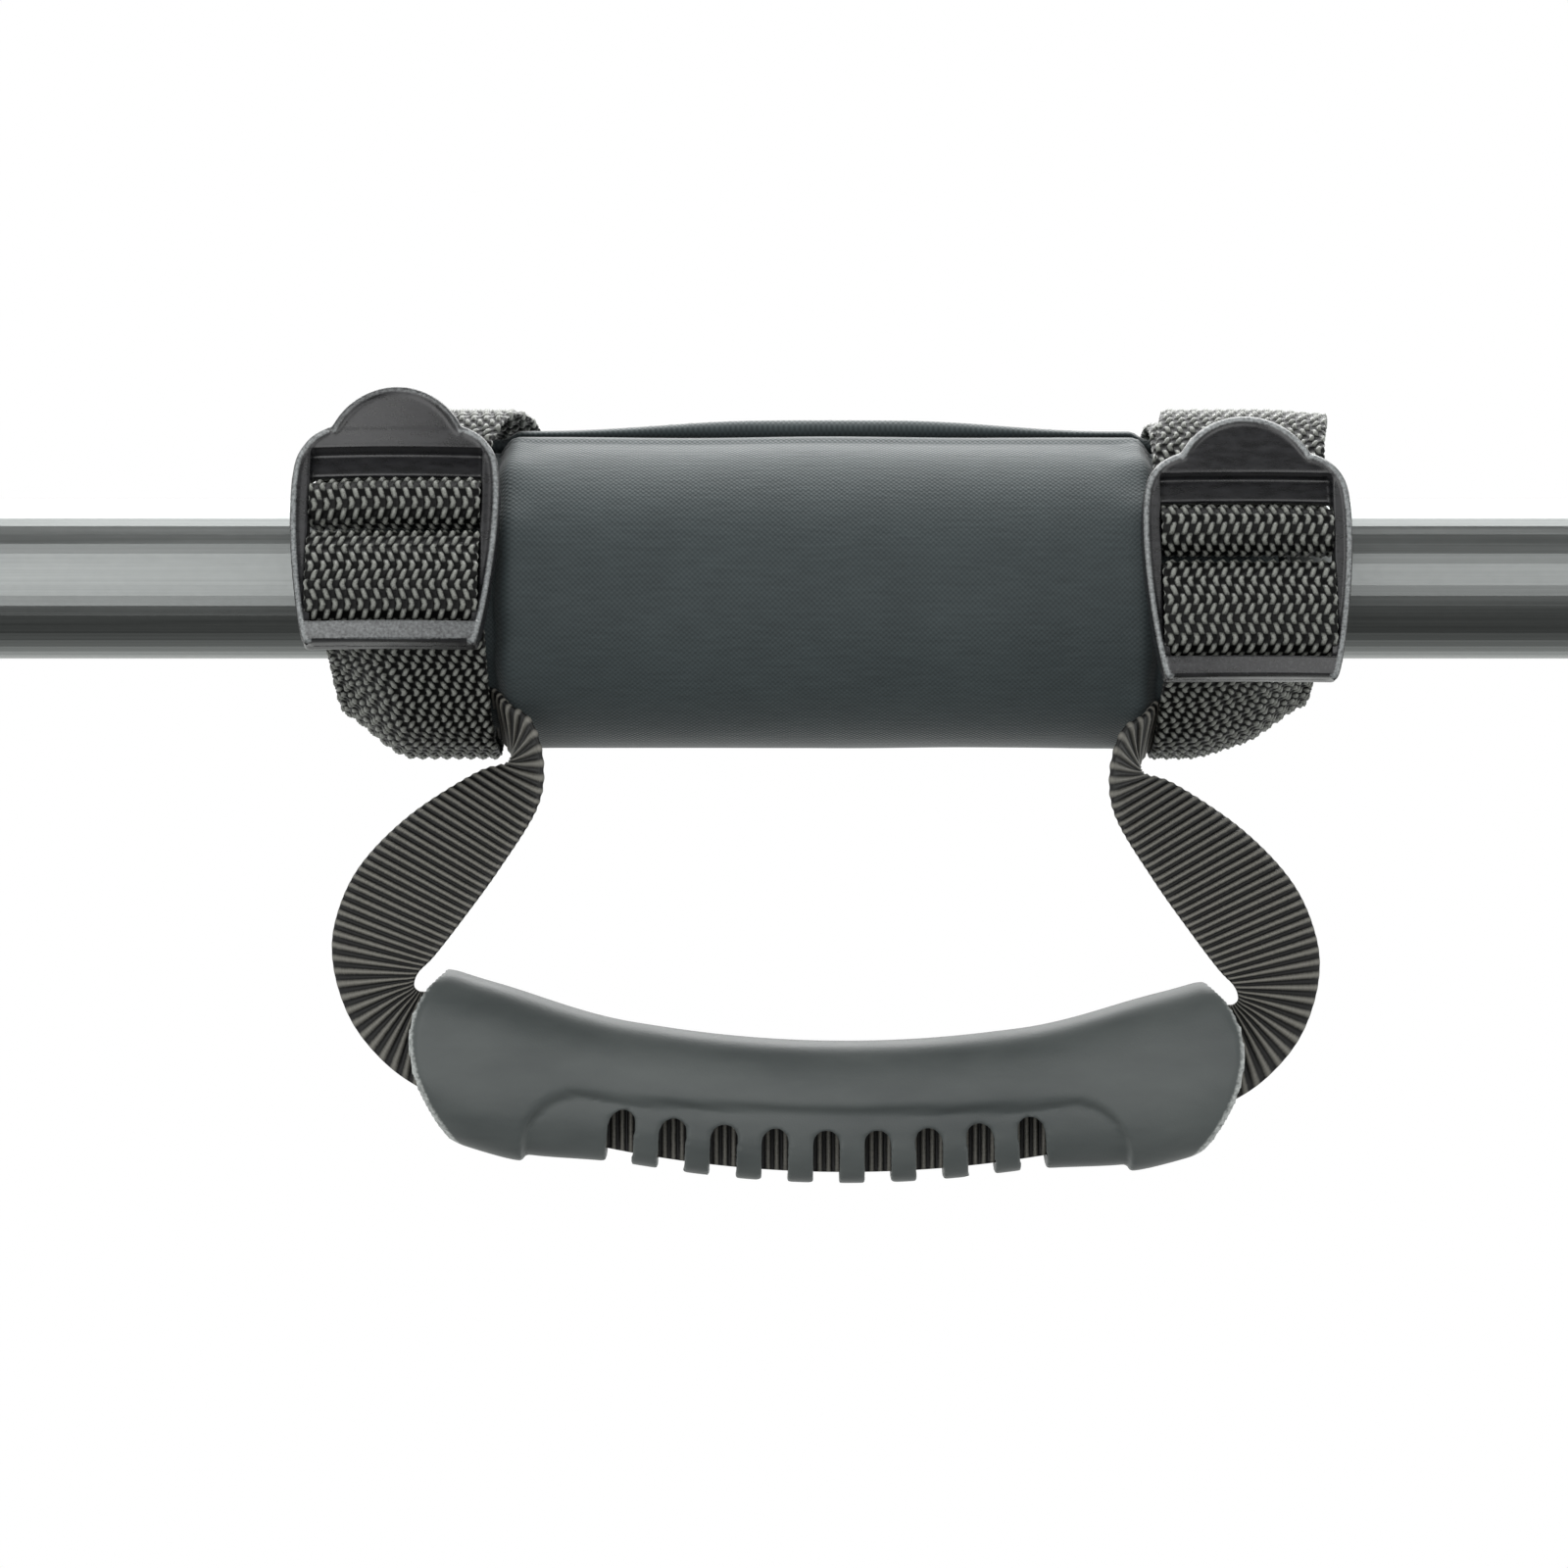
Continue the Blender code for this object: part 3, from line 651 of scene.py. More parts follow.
def strap_sheet(name, path, bend=None, wide=STRAP_WIDE):
    """Webbing along a path of middle points (x, y, z), its width along the tube. bend moves the grid."""
    rows, v = evenly(curve_through(path, 16), 0.36)
    u = columns_across(wide / 2, 0.3, 0.5)
    grid = rows[:, None, :] + np.stack([u, 0 * u, 0 * u], axis=-1)[None]
    if bend is not None:
        grid = bend(grid, u[None, :], v[:, None])
    uu, vv = np.meshgrid(u, v)
    fall = rim_fall(uu, wide / 2, 0.5)
    scallop = 0.1 * np.sin(vv * 2 * math.pi / (FLOAT / 2)) * ease(np.abs(uu), 11.6, 12.4)
    grid = grid + np.stack([np.sign(uu) * scallop, 0 * uu, 0 * uu], axis=-1)
    relief = YARN_HIGH * webbing_relief(uu, vv) * fall
    body = STRAP_THICK - YARN_HIGH
    return sheet_solid(name, grid, body * fall, 1, relief - 0.1, uu, vv, relief - 0.1)


def plate_frame(side):
    """The centre of a buckle's plate and its two directions, up the plate and outwards."""
    x, lean = BUCKLES[side]
    a = math.radians(lean)
    up = np.array([0, math.sin(a), math.cos(a)])
    out = np.array([0, -math.cos(a), math.sin(a)])
    return np.array([x, 0, -DROP]) + out * BUCKLE_STAND + up * SLIP[side], up, out


def on_plate(side, height, out_by, shift=0.0):
    """A point on a buckle's plate, moved along the tube by shift."""
    centre, up, out = plate_frame(side)
    return centre + up * height + out * out_by + np.array([shift, 0, 0])


def over_flap(angle):
    """How far a strap is raised where it crosses the flap."""
    lift = 2 * STRIP + 4 * GAP + FLAP - RECESS + 0.1
    return lift * (1 - ease(angle, 8, 46)) * ease(angle, -128, -84)


def over_tape(angle):
    """How far a strap is raised where it crosses the tape's sewn end."""
    return (TAPE_THICK + GAP + 0.1) * (1 - ease(angle, -183, -171))


def strap_middle(side, angle):
    """The strap's middle on the roll at an angle, and how far it has slid along the tube."""
    x = BUCKLES[side][0]
    inward = -1 if x > 0 else 1
    radius = STRAPPED_R + STRAP_THICK / 2 + 1.5 * GAP + max(over_flap(angle), over_tape(angle))
    travel = abs(x) - STRAP_WIDE / 2 - STRAP_INNER
    slide = inward * travel * (1 - math.cos(math.radians(angle - 20))) / 2
    return on_roll(x + slide, angle, radius), slide


def lift_off(side):
    """The angle where the strap leaves the roll for the foot of the buckle."""
    foot = on_plate(side, *FOOT)
    reach = math.hypot(foot[1], foot[2] + DROP)
    rolled = STRAPPED_R + STRAP_THICK / 2 + 2 * GAP + TAPE_THICK
    foot_angle = math.degrees(math.atan2(-foot[1], foot[2] + DROP))
    return foot_angle + math.degrees(math.acos(rolled / reach)) - 360


def draw_in(grid, most, start, end):
    """Pulls a strap's outer side towards the tube, where the pad's end gives it nothing to lie on."""
    share = ease(np.abs(grid[..., 0]), start, end)
    centre = np.array([0, 0, -DROP])
    flat = grid[..., 1:] - centre[1:]
    radius = np.linalg.norm(flat, axis=-1, keepdims=True)
    moved = grid.copy()
    moved[..., 1:] = centre[1:] + flat * (radius - (most * share)[..., None]) / radius
    return moved


def make_straps(webbing):
    for side, (x, lean) in BUCKLES.items():
        body = "buckle_body_" + side
        last = lift_off(side)
        round_path = [strap_middle(side, a)[0] for a in np.linspace(-22, last, 40)]
        slide = strap_middle(side, last)[1]
        foot = on_plate(side, *FOOT, slide)
        round_path += [round_path[-1] * 0.5 + foot * 0.5, foot, on_plate(side, -16.2, -2.0, slide)]

        def tuck(grid, u, v):
            low = ease(-grid[..., 2], 0, 24) * ease(v, 4, 30)
            for most, start, end in PULLED[side]:
                grid = draw_in(grid, most * low, start, end)
            grid[..., 1] += 0.125 * soft_noise(5, grid[..., 0] * 0.4, v * 0.35)
            return grid

        strap = strap_sheet("strap_round_" + side, round_path, tuck)
        tidy_up(strap, "sleeve", "webbing", webbing, "strap_" + side)

        front = [strap_middle(side, a)[0] for a in np.linspace(-24, 84 - lean, 16)]
        front += [on_plate(side, 0.9, -1.5), on_plate(side, 1.0, 0.4)]
        for turn in np.linspace(math.pi / 8, math.pi * 7 / 8, 6):
            front.append(on_plate(side, 3.95 - 3.0 * math.cos(turn), 2.3 * math.sin(turn) + 0.4))
        front += [on_plate(side, 6.9, -0.4), on_plate(side, 6.6, -2.2), on_plate(side, 7.6, -4.0),
                  on_plate(side, 11.6, -4.6)]
        for angle in np.linspace(42 - lean / 2, -27, 12):
            radius = STRAPPED_R + 1.5 * STRAP_THICK + 4 * GAP + over_flap(angle)
            front.append(on_roll(x, angle, radius))
        total = evenly(curve_through(front, 16), 0.36)[1][-1]

        def wander(grid, u, v):
            share = ease(v, total - 38, total)
            grid[..., 0] += TAIL_DRIFT[side] * share
            grid[..., 1] += TAIL_SLANT[side] * share * u * ease(v, total - 30, total)
            return draw_in(grid, 0.8, 68, 82)

        piece = strap_sheet("strap_front_" + side, front, wander, WIDE_FOLD)
        tidy_up(piece, None, "webbing", webbing, "strap_threaded_" + side, "strap_tail_" + side)
        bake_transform(piece)

        wrapped = [on_plate(side, -17.6, -1.9), on_plate(side, -15.9, -1.2), on_plate(side, -15.2, 0.4)]
        sewn = [(-14.3, 1.7), (-12.4, 2.4), (-8.4, 2.9), (-4.4, 2.4), (-2.5, 1.8), (-1.7, 0.0),
                (-2.5, -1.8), (-4.4, -2.3), (-8.4, -2.35), (-12.4, -2.3)]
        wrapped += [on_plate(side, height, out_by) for height, out_by in sewn]

        def cup(grid, u, v):
            """The folded end is fuller along its middle than at its rims."""
            full = 0.35 * (1 - (u / 12.5) ** 2) * ease(v, 1, 6) * (1 - ease(v, 14, 17))
            return grid + plate_frame(side)[2] * full[..., None]

        end = strap_sheet("strap_end_fold_" + side, wrapped, cup, WIDE_FOLD)
        tidy_up(end, body, "webbing", webbing, "strap_end_" + side)


# ---------------------------------------------------------------- pad

def pillow(grid, free):
    """Blows the pad's cover up like a stuffed cushion, held where free is 0. Rows x columns x 3, mm."""
    rows, cols = grid.shape[:2]
    cloth_obj = mesh_of("cover_draft", grid.reshape(-1, 3), grid_quads(rows, cols))
    group = cloth_obj.vertex_groups.new(name="held")
    for i, weight in enumerate(1 - free.ravel()):
        group.add([i], float(weight), "REPLACE")
    cloth = cloth_obj.modifiers.new("cloth", "CLOTH")
    cloth.settings.quality = 6
    cloth.settings.mass = 0.2
    cloth.settings.tension_stiffness = 12
    cloth.settings.compression_stiffness = 12
    cloth.settings.shear_stiffness = 4
    cloth.settings.bending_stiffness = 0.4
    cloth.settings.vertex_group_mass = "held"
    cloth.settings.use_pressure = True
    cloth.settings.uniform_pressure_force = 4.0
    cloth.settings.effector_weights.gravity = 0
    scene = bpy.context.scene
    for step in range(1, SWELL_STEPS + 1):
        scene.frame_set(step)
    graph = bpy.context.evaluated_depsgraph_get()
    moved = points_of(cloth_obj.evaluated_get(graph).to_mesh())
    scene.frame_set(1)
    drop(cloth_obj)
    return moved.reshape(rows, cols, 3)


def pad_stations():
    """Places along the roll, close together near the straps and beneath them."""
    dense = 46
    return np.concatenate([-np.linspace(PAD_HALF, 43, dense), np.linspace(-42, 42, 50),
                           np.linspace(43, PAD_HALF, dense)])


def signed(angle):
    """Angles from 0 to 360 as -180 to 180, negative at the back."""
    return np.where(angle <= 180, angle, angle - 360)


def cover_middle(xx, aa, pressed=0.0):
    return on_roll(xx, aa, pad_radius(xx, aa) - COVER / 2 - CREASE_ROOM - pressed)


def stuffed(xx, aa, angle):
    """The cover swollen between the straps, and held beneath them, at the seam and under the flap."""
    free = (1 - ease(np.abs(xx), 45, 50)) * ease(angle, 8, 22) * (1 - flap_zone(aa))
    free = free * (1 - ease(angle, 256, 268))
    start = cover_middle(xx, aa, 0.5 * free)[:, ::2]
    move = pillow(start, free[:, ::2]) - start
    size = np.linalg.norm(move, axis=-1, keepdims=True)
    swollen = start + move * np.minimum(1, MOST_SWELL / np.maximum(size, 1e-6))
    return np.apply_along_axis(lambda line: np.interp(angle, angle[::2], line), 1, swollen)


def make_roll(canvas):
    angle = np.linspace(SEAM, 360 - SEAM, 180)
    xx, aa = np.meshgrid(pad_stations(), signed(angle), indexing="ij")
    middle = stuffed(xx, aa, angle)
    pull = ease(np.abs(xx), 42, 49) * (1 - ease(np.abs(xx), 49, 53))
    crease = np.sin(np.radians(aa) * 13 + 2 * soft_noise(3, xx * 0.08, aa * 0.03))
    relief = 0.22 * pull * crease * ease(angle, 14, 30)
    relief += 0.12 * soft_noise(8, xx * 0.12, aa * 0.1) * (1 - ease(np.abs(xx), 60, 70))
    hem = 1 - ease(angle, 13.5, 15.5)
    relief += 0.35 * hem * (1 - flap_zone(aa) * 0.6)
    edge = np.sqrt(np.clip((angle - SEAM) / 1.6, 0.02, 1)) * (1 - ease(angle, 352.5, 354.2) * 0.8)
    ends = rim_fall(xx, PAD_HALF, 0.8)
    around = np.radians(angle) * PAD_R + 0 * xx
    roll = sheet_solid("padded_roll", middle, COVER * edge * ends, 1, relief * edge, xx, around)
    tidy_up(roll, "sleeve", "pad_fabric", canvas, "pad_cover")


def flap_thickness(x):
    """The flap is full along its middle, thin beside the straps and even beneath them."""
    x = np.abs(x)
    return FLAP + 0.5 * (1 - ease(x, 0, 44)) - 1.3 * ease(x, 12, 46) * (1 - ease(x, 49, 51))


def make_flap(canvas, thread):
    xx, aa = np.meshgrid(pad_stations(), np.linspace(-FLAP_BACK, 1.5, 90), indexing="ij")
    thick = flap_thickness(xx)
    middle = on_roll(xx, aa, flap_inside(xx, aa) + thick / 2)
    front = np.sqrt(np.clip((1.5 - aa) / 3.2, 0.02, 1))
    back = np.sqrt(np.clip((aa + FLAP_BACK) / 6.0, 0.03, 1))
    dents = [np.exp(-((aa - at) / 0.9) ** 2) for at in FLAP_ROWS]
    puff = 0.12 * soft_noise(21, xx * 0.15, aa * 0.14) - 0.35 * sum(dents)
    flap = sheet_solid("top_flap", middle, thick * front * back * rim_fall(xx, PAD_HALF, 1.0), 1,
                       puff * front * back, xx, np.radians(aa) * PAD_R)
    tidy_up(flap, "sleeve", "pad_fabric", canvas, "closing_flap")

    x = np.linspace(-46, 46, 200)
    rows = []
    for at in FLAP_ROWS:
        line = on_roll(x, at, flap_inside(x, at) + flap_thickness(x) - 0.2)
        rows += stitch_row(line, on_roll(0 * x, at, 1.0, 0))
    tidy_up(stitches("pad_stitching", rows), "sleeve", "pad_fabric", thread)


def make_roll_ends(canvas, binding):
    for side, sign in (("left", -1), ("right", 1)):
        angle = np.linspace(SEAM + 0.5, 360 - SEAM - 0.5, 150)
        rr, aa = np.meshgrid(np.linspace(0, 1, 22), signed(angle), indexing="ij")
        outer = pad_radius(70, aa) - 1.3
        inner = LINING_R + GAP + 0.5
        pleat = 0.04 * np.sin(np.radians(aa) * 26) * ease(rr, 0.55, 0.9)
        bulge = 0.45 * np.sin(np.pi * rr) + pleat
        xs = sign * (70.95 + bulge - 0.35 * ease(rr, 0.8, 1.0))
        grid = on_roll(xs, aa, inner + (outer - inner) * rr, 0)
        grid[..., 2] -= DROP * ease(rr, 0.0, 0.8)
        thick = 1.0 * rim_fall(rr * 2 - 1, 1.0, 0.12)
        around = np.radians(angle) * 17
        panel = sheet_solid("end_panel_" + side, grid, thick, -sign, 0.0, rr * 8, around)
        tidy_up(panel, "sleeve", "pad_fabric", canvas, "end_binding_" + side)
        edge = on_roll(sign * 70.9, signed(angle), pad_radius(70, signed(angle)) - 0.9)
        tidy_up(tube_along("end_piping_" + side, edge, 0.75, 12), "sleeve", "pad_fabric", binding)


# ---------------------------------------------------------------- buckles

def buckle_side():
    """Half the frame's outline, from the foot to where the lifting tab starts."""
    points = [(12.6, -19.6), (13.2, -19.0), (14.0, -15.6), (15.0, -9.0), (15.7, -2.0), (15.9, 4.0),
              (15.7, 8.4), (15.0, 11.4), (13.2, 13.8), (10.6, 15.2)]
    return curve_through(points, 5)


def crown_line(radius):
    """The crown of the lifting tab, part of a circle, from its right end to its left."""
    start = math.asin((15.0 - CROWN_MIDDLE) / radius)
    turns = np.linspace(start, math.pi - start, 25)
    return [(radius * math.cos(a), CROWN_MIDDLE + radius * math.sin(a)) for a in turns]


def buckle_shell(half):
    """The frame with its windows, and the two shallow channels behind and before its crossbars. The slot
    under the tab is cut only part way, so that its black floor stands in for the shade in that slot.
    """
    shell = extruded("frame", [tuple(p) for p in half] + [(-x, z) for x, z in half[::-1]], -2.2, 1.7)
    inside = 13.15
    windows = [((-12.2, -4, -16.4), (12.2, 4, -12.4)),
               ((-inside, -4, -3.2), (inside, 4, 2.5)),
               ((-inside, -4, 5.3), (inside, 4, 8.4)),
               # this slot stops at a black floor that stands in for the shade inside it
               ((-inside, -4, 8.0), (inside, 1.0, 12.4)),
               ((-inside, 1.0, -14.0), (inside, 4, 8.0)),
               ((-inside, -4, -14.0), (inside, -1.2, 8.0))]
    for low, high in windows:
        cut(shell, block("window", low, high))
    return shell


def shade_wall_behind_slot():
    """A black wall behind the slot under the tab, leaning back from its hinge line, put there to stand in for
    the shade in the slot.
    """
    wall = extruded("slope", [(-13.6, 8.4), (13.6, 8.4), (13.6, 13.0), (-13.6, 13.0)], 0.0, 0.9)
    hinge = Matrix.Translation((0, 0.6 * MM, 8.4 * MM))
    wall.data.transform(hinge @ Matrix.Rotation(math.radians(-9), 4, "X") @ hinge.inverted())
    return wall


def buckle_painted_highlight(points, rim, side):
    """How strongly each point of a buckle is painted with a pale highlight: along the raised rim, and across
    the front of its foot.
    """
    away = np.full(len(points), 9.0)
    for x, z in np.concatenate([rim[:, [0, 2]], rim[:, [0, 2]] * [-1, 1]]):
        away = np.minimum(away, np.hypot(points[:, 0] - x, points[:, 2] - z))
    crown_highlight, foot_highlight = PAINTED_HIGHLIGHT_STRENGTH[side]
    painted_highlight = (1 - ease(away, 0.2, 0.6)) * ease(-points[:, 1], 0.6, 1.6)
    painted_highlight = painted_highlight * np.where(points[:, 2] > 15, crown_highlight, 0.9)
    return np.maximum(painted_highlight, foot_highlight * ease(-points[:, 2], 16.4, 16.8) * ease(-points[:, 1], 1.8, 2.2))


def make_buckles(nylon):
    for side in BUCKLES:
        half = buckle_side()
        tab = extruded("tab", [(-11.6, 12.6), (11.6, 12.6)] + crown_line(CROWN_R), -2.1, 0.2)
        rim = [(x - 0.5, z) for x, z in half] + crown_line(CROWN_R - 0.35)
        rim += [(-(x - 0.5), z) for x, z in half[::-1]]
        rim = evenly(np.array([(x, -2.0, z) for x, z in rim]), 0.5)[0]
        bead = tube_along("bead", rim, 0.62, 12)
        foot = extruded("foot", [(-12.8, -19.4), (12.8, -19.4), (13.3, -16.5), (-13.3, -16.5)], -2.9, 1.2)
        parts = [buckle_shell(half), shade_wall_behind_slot(), tab, bead, foot]
        piece = mould(parts, "buckle_frame_" + side, 0.26, 4)
        points = points_of(piece.data)
        points[:, 1] += 0.003 * points[:, 0] ** 2
        points[:, 1] += math.tan(math.radians(TAB_BEND[side])) * np.maximum(points[:, 2] - 13.0, 0)
        points[:, 1] += 0.16 * np.clip(-16.4 - points[:, 2], 0, 3.2) * (points[:, 1] < 0)
        # pale highlights painted along the buckle's raised rim and across the front of its foot
        mark_painted_highlight(piece, buckle_painted_highlight(points, rim, side))
        centre, up, out = plate_frame(side)
        points = points @ np.array([[1, 0, 0], -out, up]) + centre
        piece.data.vertices.foreach_set("co", (points * MM).astype(np.float32).ravel())
        piece.data.update()
        tidy_up(piece, "buckle_body_" + side, "buckle_plastic", nylon, "buckle_" + side)


# ---------------------------------------------------------------- hand loop

def arc_z(x):
    """Height of the grip's middle line: an arc that rises towards both ends, a little tilted."""
    return GRIP_Z + GRIP_ARC - np.sqrt(GRIP_ARC ** 2 - np.asarray(x, float) ** 2) + GRIP_TILT * x


def half_loop(sign):
    """The tape's near and far edges from one sewn end down to the grip, on the side that sign says."""
    pairs = []
    for x, lift in SEWN_STATIONS:
        radius = pad_radius(x, 90) + GAP + lift
        pairs.append([on_roll(x, angle, radius) for angle in SEWN_ANGLES])
    placed = []
    for near, far in pairs + LOOP_STATIONS:
        row = np.concatenate([near, far])
        row[[0, 3]] *= sign
        row[[2, 5]] += GRIP_TILT * row[[0, 3]]
        placed.append(row)
    return placed


def tape_stations():
    """The tape's near and far edges from its left sewn end, round through the grip, to the right one."""
    inner = [np.array([x, GRIP_Y, arc_z(x) + TAPE_HALF, x, GRIP_Y, arc_z(x) - TAPE_HALF])
             for x in np.linspace(-55, 55, 11)]
    return half_loop(-1) + inner + half_loop(1)[::-1]


def make_tape(ribbed):
    edges = curve_through(tape_stations(), 24)
    middle = (edges[:, :3] + edges[:, 3:]) / 2
    rows, v = evenly(np.concatenate([middle, edges], axis=1), RIB / 7)
    near, far = rows[:, 3:6], rows[:, 6:9]
    half = TAPE_WIDE / 2
    u = columns_across(half, 1.1, 0.35)
    share = (u / half + 1) / 2
    grid = near[:, None] * (1 - share)[None, :, None] + far[:, None] * share[None, :, None]
    uu, vv = np.meshgrid(u, v)
    fall = rim_fall(uu, half, 0.4)
    rib = 0.5 + 0.5 * np.cos(vv * 2 * math.pi / RIB)
    selvage = 1 - 0.6 * ease(np.abs(uu), half - 1.4, half - 0.8)
    relief = (RIB_HIGH * rib * selvage - 0.15) * fall
    tape = sheet_solid("hand_tape_loop", grid, (TAPE_THICK - RIB_HIGH) * fall, 1, relief, uu, vv, relief)
    tidy_up(tape, None, "tape", ribbed, "tape_sewn_end_left", "tape_sewn_end_right", "tape_flex_left",
            "tape_flex_right", "hand_tape")
    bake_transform(tape)


def grip_groove(x):
    """Height above the grip's middle line of the soft step over the slots."""
    x = np.abs(x)
    crown = 1.1 - 1.6 * ease(x, 8, 36)
    fall = np.clip((x - 36.5) / 10.7, 0, 1)
    return crown - 12.5 * (1 - np.sqrt(np.clip(1 - fall ** 2, 0, 1))) - 4 * ease(x, 46.9, 47.6)


def mouth_curve(height):
    """How far the grip's mouths are set back, at a height above or below its middle line."""
    return 5.6 * (height / 13) ** 2


def signed_power(value, power):
    """Below 1 this squares up a ring of sines and cosines, and above 1 it rounds their slopes."""
    return np.sign(value) * np.abs(value) ** power


def grip_shell():
    """The grip's outside, as a closed solid, sunk below the groove so that the slots lie in a panel."""
    turn = np.linspace(0, 2 * math.pi, 120, endpoint=False)
    ss, tt = np.meshgrid(np.linspace(-1, 1, 260), turn, indexing="ij")
    cos, sin = np.cos(tt), np.sin(tt)
    x0 = np.abs(ss * GRIP_END)
    tip = ease(x0, 62.8, 64.9)
    flare = ease(x0, 30, 56)
    high = np.where(sin > 0, 11.4 + 1.7 * flare, 11.9 + 1.9 * flare) - 0.3 * tip
    deep = 9.0 + 0.9 * flare - 1.0 * tip
    y = deep * signed_power(cos, GRIP_SQUARE)
    rel = high * signed_power(sin, GRIP_SQUARE)
    x = ss * (GRIP_END - mouth_curve(rel) * ease(np.abs(ss), 0.3, 1.0))
    sink = -0.9 * ease(np.abs(x), 25, 58)
    line = grip_groove(x)
    below = 1 - ease(rel - line, -0.5, 0.5)
    furrow = np.exp(-((rel - line) / 0.9) ** 2) * (1 - ease(np.abs(x), 45, 49))
    inset = 1.15 * below * (1 - ease(np.abs(x), 47.0, 47.8)) + 0.4 * furrow
    slope = 2 - GRIP_SQUARE
    around = np.stack([0 * x, signed_power(cos, slope) / deep, signed_power(sin, slope) / high], axis=-1)
    around /= np.linalg.norm(around, axis=-1, keepdims=True)
    points = np.stack([x, y + GRIP_Y, rel + arc_z(x) + sink], axis=-1) - around * inset[..., None]
    return mesh_of("grip_shell", points.reshape(-1, 3), tube_faces(*x.shape))


def grip_hollow():
    """The grip's inside, a little wider at both mouths."""
    turn = np.linspace(0, 2 * math.pi, 32, endpoint=False)
    x, tt = np.meshgrid(np.linspace(-70, 70, 60), turn, indexing="ij")
    flare = 1 + 0.08 * ease(np.abs(x), 58, 66)
    y = 6.8 * signed_power(np.cos(tt), 0.7) * flare + GRIP_Y
    z = 9.6 * signed_power(np.sin(tt), 0.7) * flare + arc_z(x) - 0.5 * ease(np.abs(x), 25, 58)
    return mesh_of("hollow", np.stack([x, y, z], axis=-1).reshape(-1, 3), tube_faces(*x.shape))


def make_grip(rubber):
    grip = cut(grip_shell(), grip_hollow())
    radius = SLOT_WIDE / 2
    for i in range(SLOTS):
        middle = (i - (SLOTS - 1) / 2) * SLOT_PITCH
        outline = [(-radius, -20.0), (radius, -20.0)]
        outline += [(radius * math.cos(a), radius * (math.sin(a) - 1)) for a in np.linspace(0, math.pi, 9)]
        lean = 0.7 * middle / GRIP_ARC
        top = arc_z(middle) - 2.0
        placed = [(middle + x - z * lean, top + z) for x, z in outline]
        cut(grip, extruded("slot", placed, GRIP_Y - 16, GRIP_Y + 16))
    piece = mould([grip], "grip_moulding", 0.42, 4)
    points = points_of(piece.data)
    mouth = GRIP_END - mouth_curve(points[:, 2] - arc_z(points[:, 0]))
    # a pale highlight painted along the rims of the grip's mouths
    mark_painted_highlight(piece, ease(np.abs(points[:, 0]) - mouth, -1.7, -0.5))
    tidy_up(piece, "hand_loop", "grip_rubber", rubber, "hand_grip")


# ---------------------------------------------------------------- studio

def area_light(name, place, aim, size, radiance):
    """A soft box of a given brightness. It lights and reflects, and the camera doesn't see it."""
    lamp = bpy.data.lights.new(name, "AREA")
    lamp.shape = "RECTANGLE"
    lamp.size, lamp.size_y = size
    lamp.energy = radiance * math.pi * size[0] * size[1]
    obj = placed_object(name, lamp)
    obj.location = place
    direction = np.array(aim, float) - np.array(place, float)
    obj.rotation_euler = Vector(direction).to_track_quat("-Z", "Z").to_euler()
    obj.visible_camera = False
    return obj


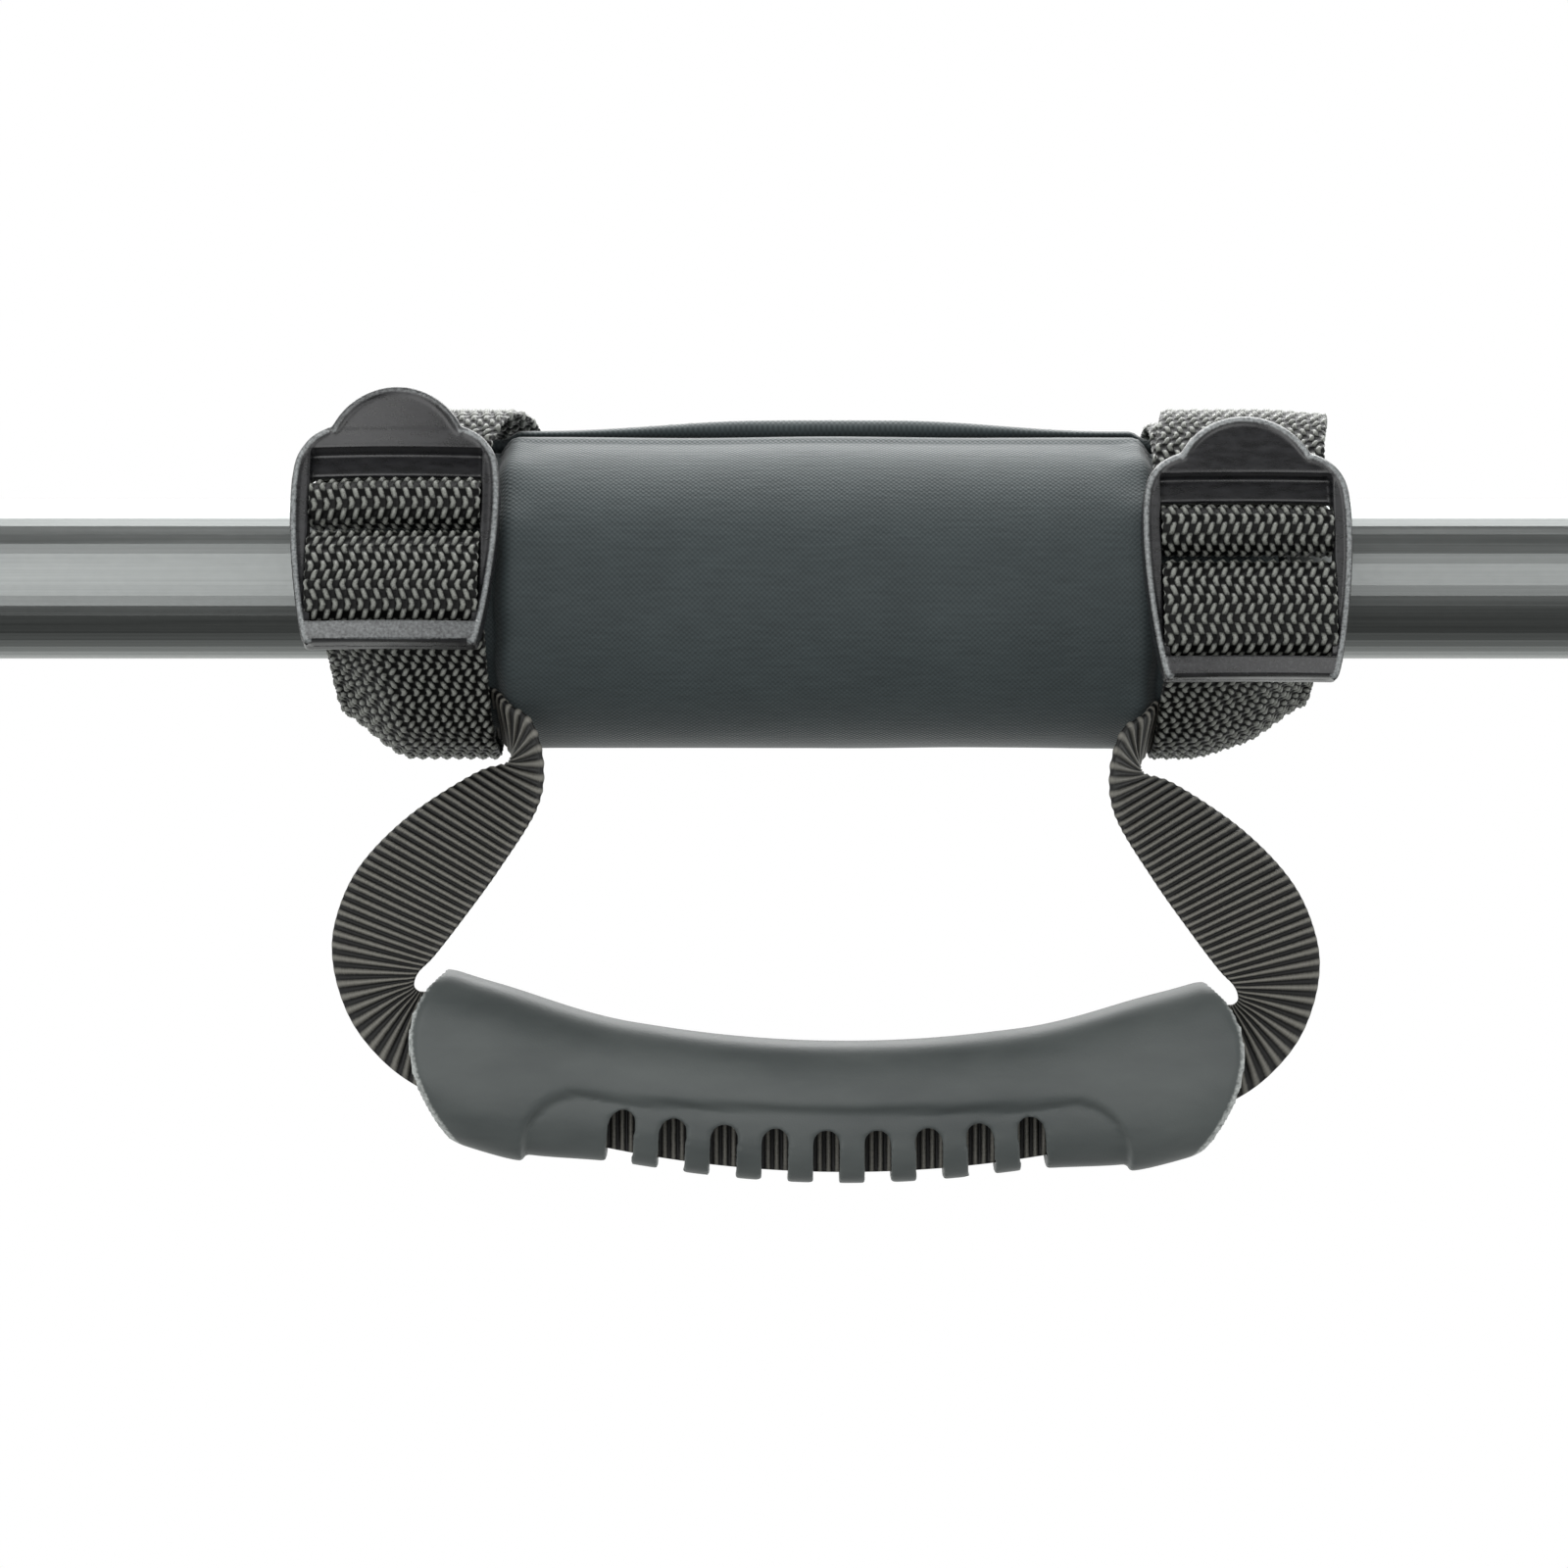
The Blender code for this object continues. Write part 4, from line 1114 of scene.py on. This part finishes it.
def make_surroundings():
    """White paper to the camera, and to the pieces a glow from behind and from both sides."""
    world = bpy.data.worlds.new("studio")
    bpy.context.scene.world = world
    world.use_nodes = True
    tree = world.node_tree
    tree.nodes.clear()
    x = add(tree, "ShaderNodeSeparateXYZ", {0: add(tree, "ShaderNodeTexCoord", {}, "Generated")})
    y, z = x.node.outputs[1], x.node.outputs[2]
    behind = add(tree, "ShaderNodeMapRange", {0: y, 1: -0.1, 2: 0.7, 3: 0.2, 4: 1.1})
    under = add(tree, "ShaderNodeMapRange", {0: z, 1: -1.0, 2: -0.45, 3: 0.55, 4: 1.0})
    behind = add(tree, "ShaderNodeMath", {0: behind, 1: under}, operation="MULTIPLY")
    sideways = add(tree, "ShaderNodeMath", {0: x}, operation="ABSOLUTE")
    sides = add(tree, "ShaderNodeMapRange", {0: sideways, 1: 0.55, 2: 0.95, 3: 0.0, 4: 1.1})
    glow = add(tree, "ShaderNodeMath", {0: behind, 1: sides}, operation="MAXIMUM")
    seen = add(tree, "ShaderNodeLightPath", {}, "Is Camera Ray")
    light = add(tree, "ShaderNodeBackground", {0: linear("#fdfffd"), 1: glow})
    paper = add(tree, "ShaderNodeBackground", {0: linear("#ffffff"), 1: 1.0})
    surface = add(tree, "ShaderNodeMixShader", {0: seen, 1: light, 2: paper})
    tree.links.new(surface, tree.nodes.new("ShaderNodeOutputWorld").inputs["Surface"])


def make_studio():
    area_light("overhead_box", (0, 0.37, 0.68), (0, 0, 0), (1.1, 1.0), 4.7)
    area_light("front_left_box", (-0.42, -1.0, 0.07), (-0.42, 0, 0.07), (0.62, 1.7), 2.1)
    area_light("front_right_box", (0.42, -1.0, 0.08), (0.42, 0, 0.08), (0.62, 0.9), 1.7)

    floor = block("floor", (-900, -900, -422), (900, 900, -420))
    paper_finish, tree, shader = new_finish("matt_white_paper", Roughness=0.95, Emission_Strength=0.4)
    fibres = grain(tree, 6.0, 3.0)
    shades = {0: fibres, 6: linear("#f2f3f2"), 7: linear("#fbfcfb")}
    set_inputs(tree, shader, {"Base Color": add(tree, "ShaderNodeMix", shades, 2, data_type="RGBA")})
    floor.data.materials.append(paper_finish)
    floor.visible_glossy = False
    floor.visible_diffuse = False


def make_camera():
    camera = bpy.data.cameras.new("camera")
    camera.lens = 86.4
    camera.sensor_width = 36.0
    camera.clip_start = 0.01
    view = placed_object("camera", camera)
    view.location = (-0.00656, -0.600, -0.0327)
    view.rotation_euler = (math.pi / 2, 0, 0)
    bpy.context.scene.camera = view
    bpy.context.scene.view_settings.view_transform = "Standard"


def dress_frame(finishes):
    """Gives each CAD node that stays on show its real finish."""
    for node, finish in finishes.items():
        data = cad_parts[node].data
        data.materials.clear()
        data.materials.append(finish)


def main():
    make_straps(webbing_finish())
    canvas = canvas_finish()
    make_roll(canvas)
    make_flap(canvas, thread_finish())
    make_roll_ends(canvas, binding_finish())
    make_buckles(nylon_finish())
    make_tape(tape_finish())
    make_grip(rubber_finish())
    foam, plug, hook_and_loop = foam_finish(), plug_finish(), hook_and_loop_finish()
    dress_frame({"bar_tube": steel_finish(), "end_plug_left": plug, "end_plug_right": plug,
                 "pad_lining": foam, "pad_foam": foam, "hook_strip": hook_and_loop,
                 "loop_strip": hook_and_loop})
    make_surroundings()
    make_studio()
    make_camera()


main()
bpy.context.view_layer.update()
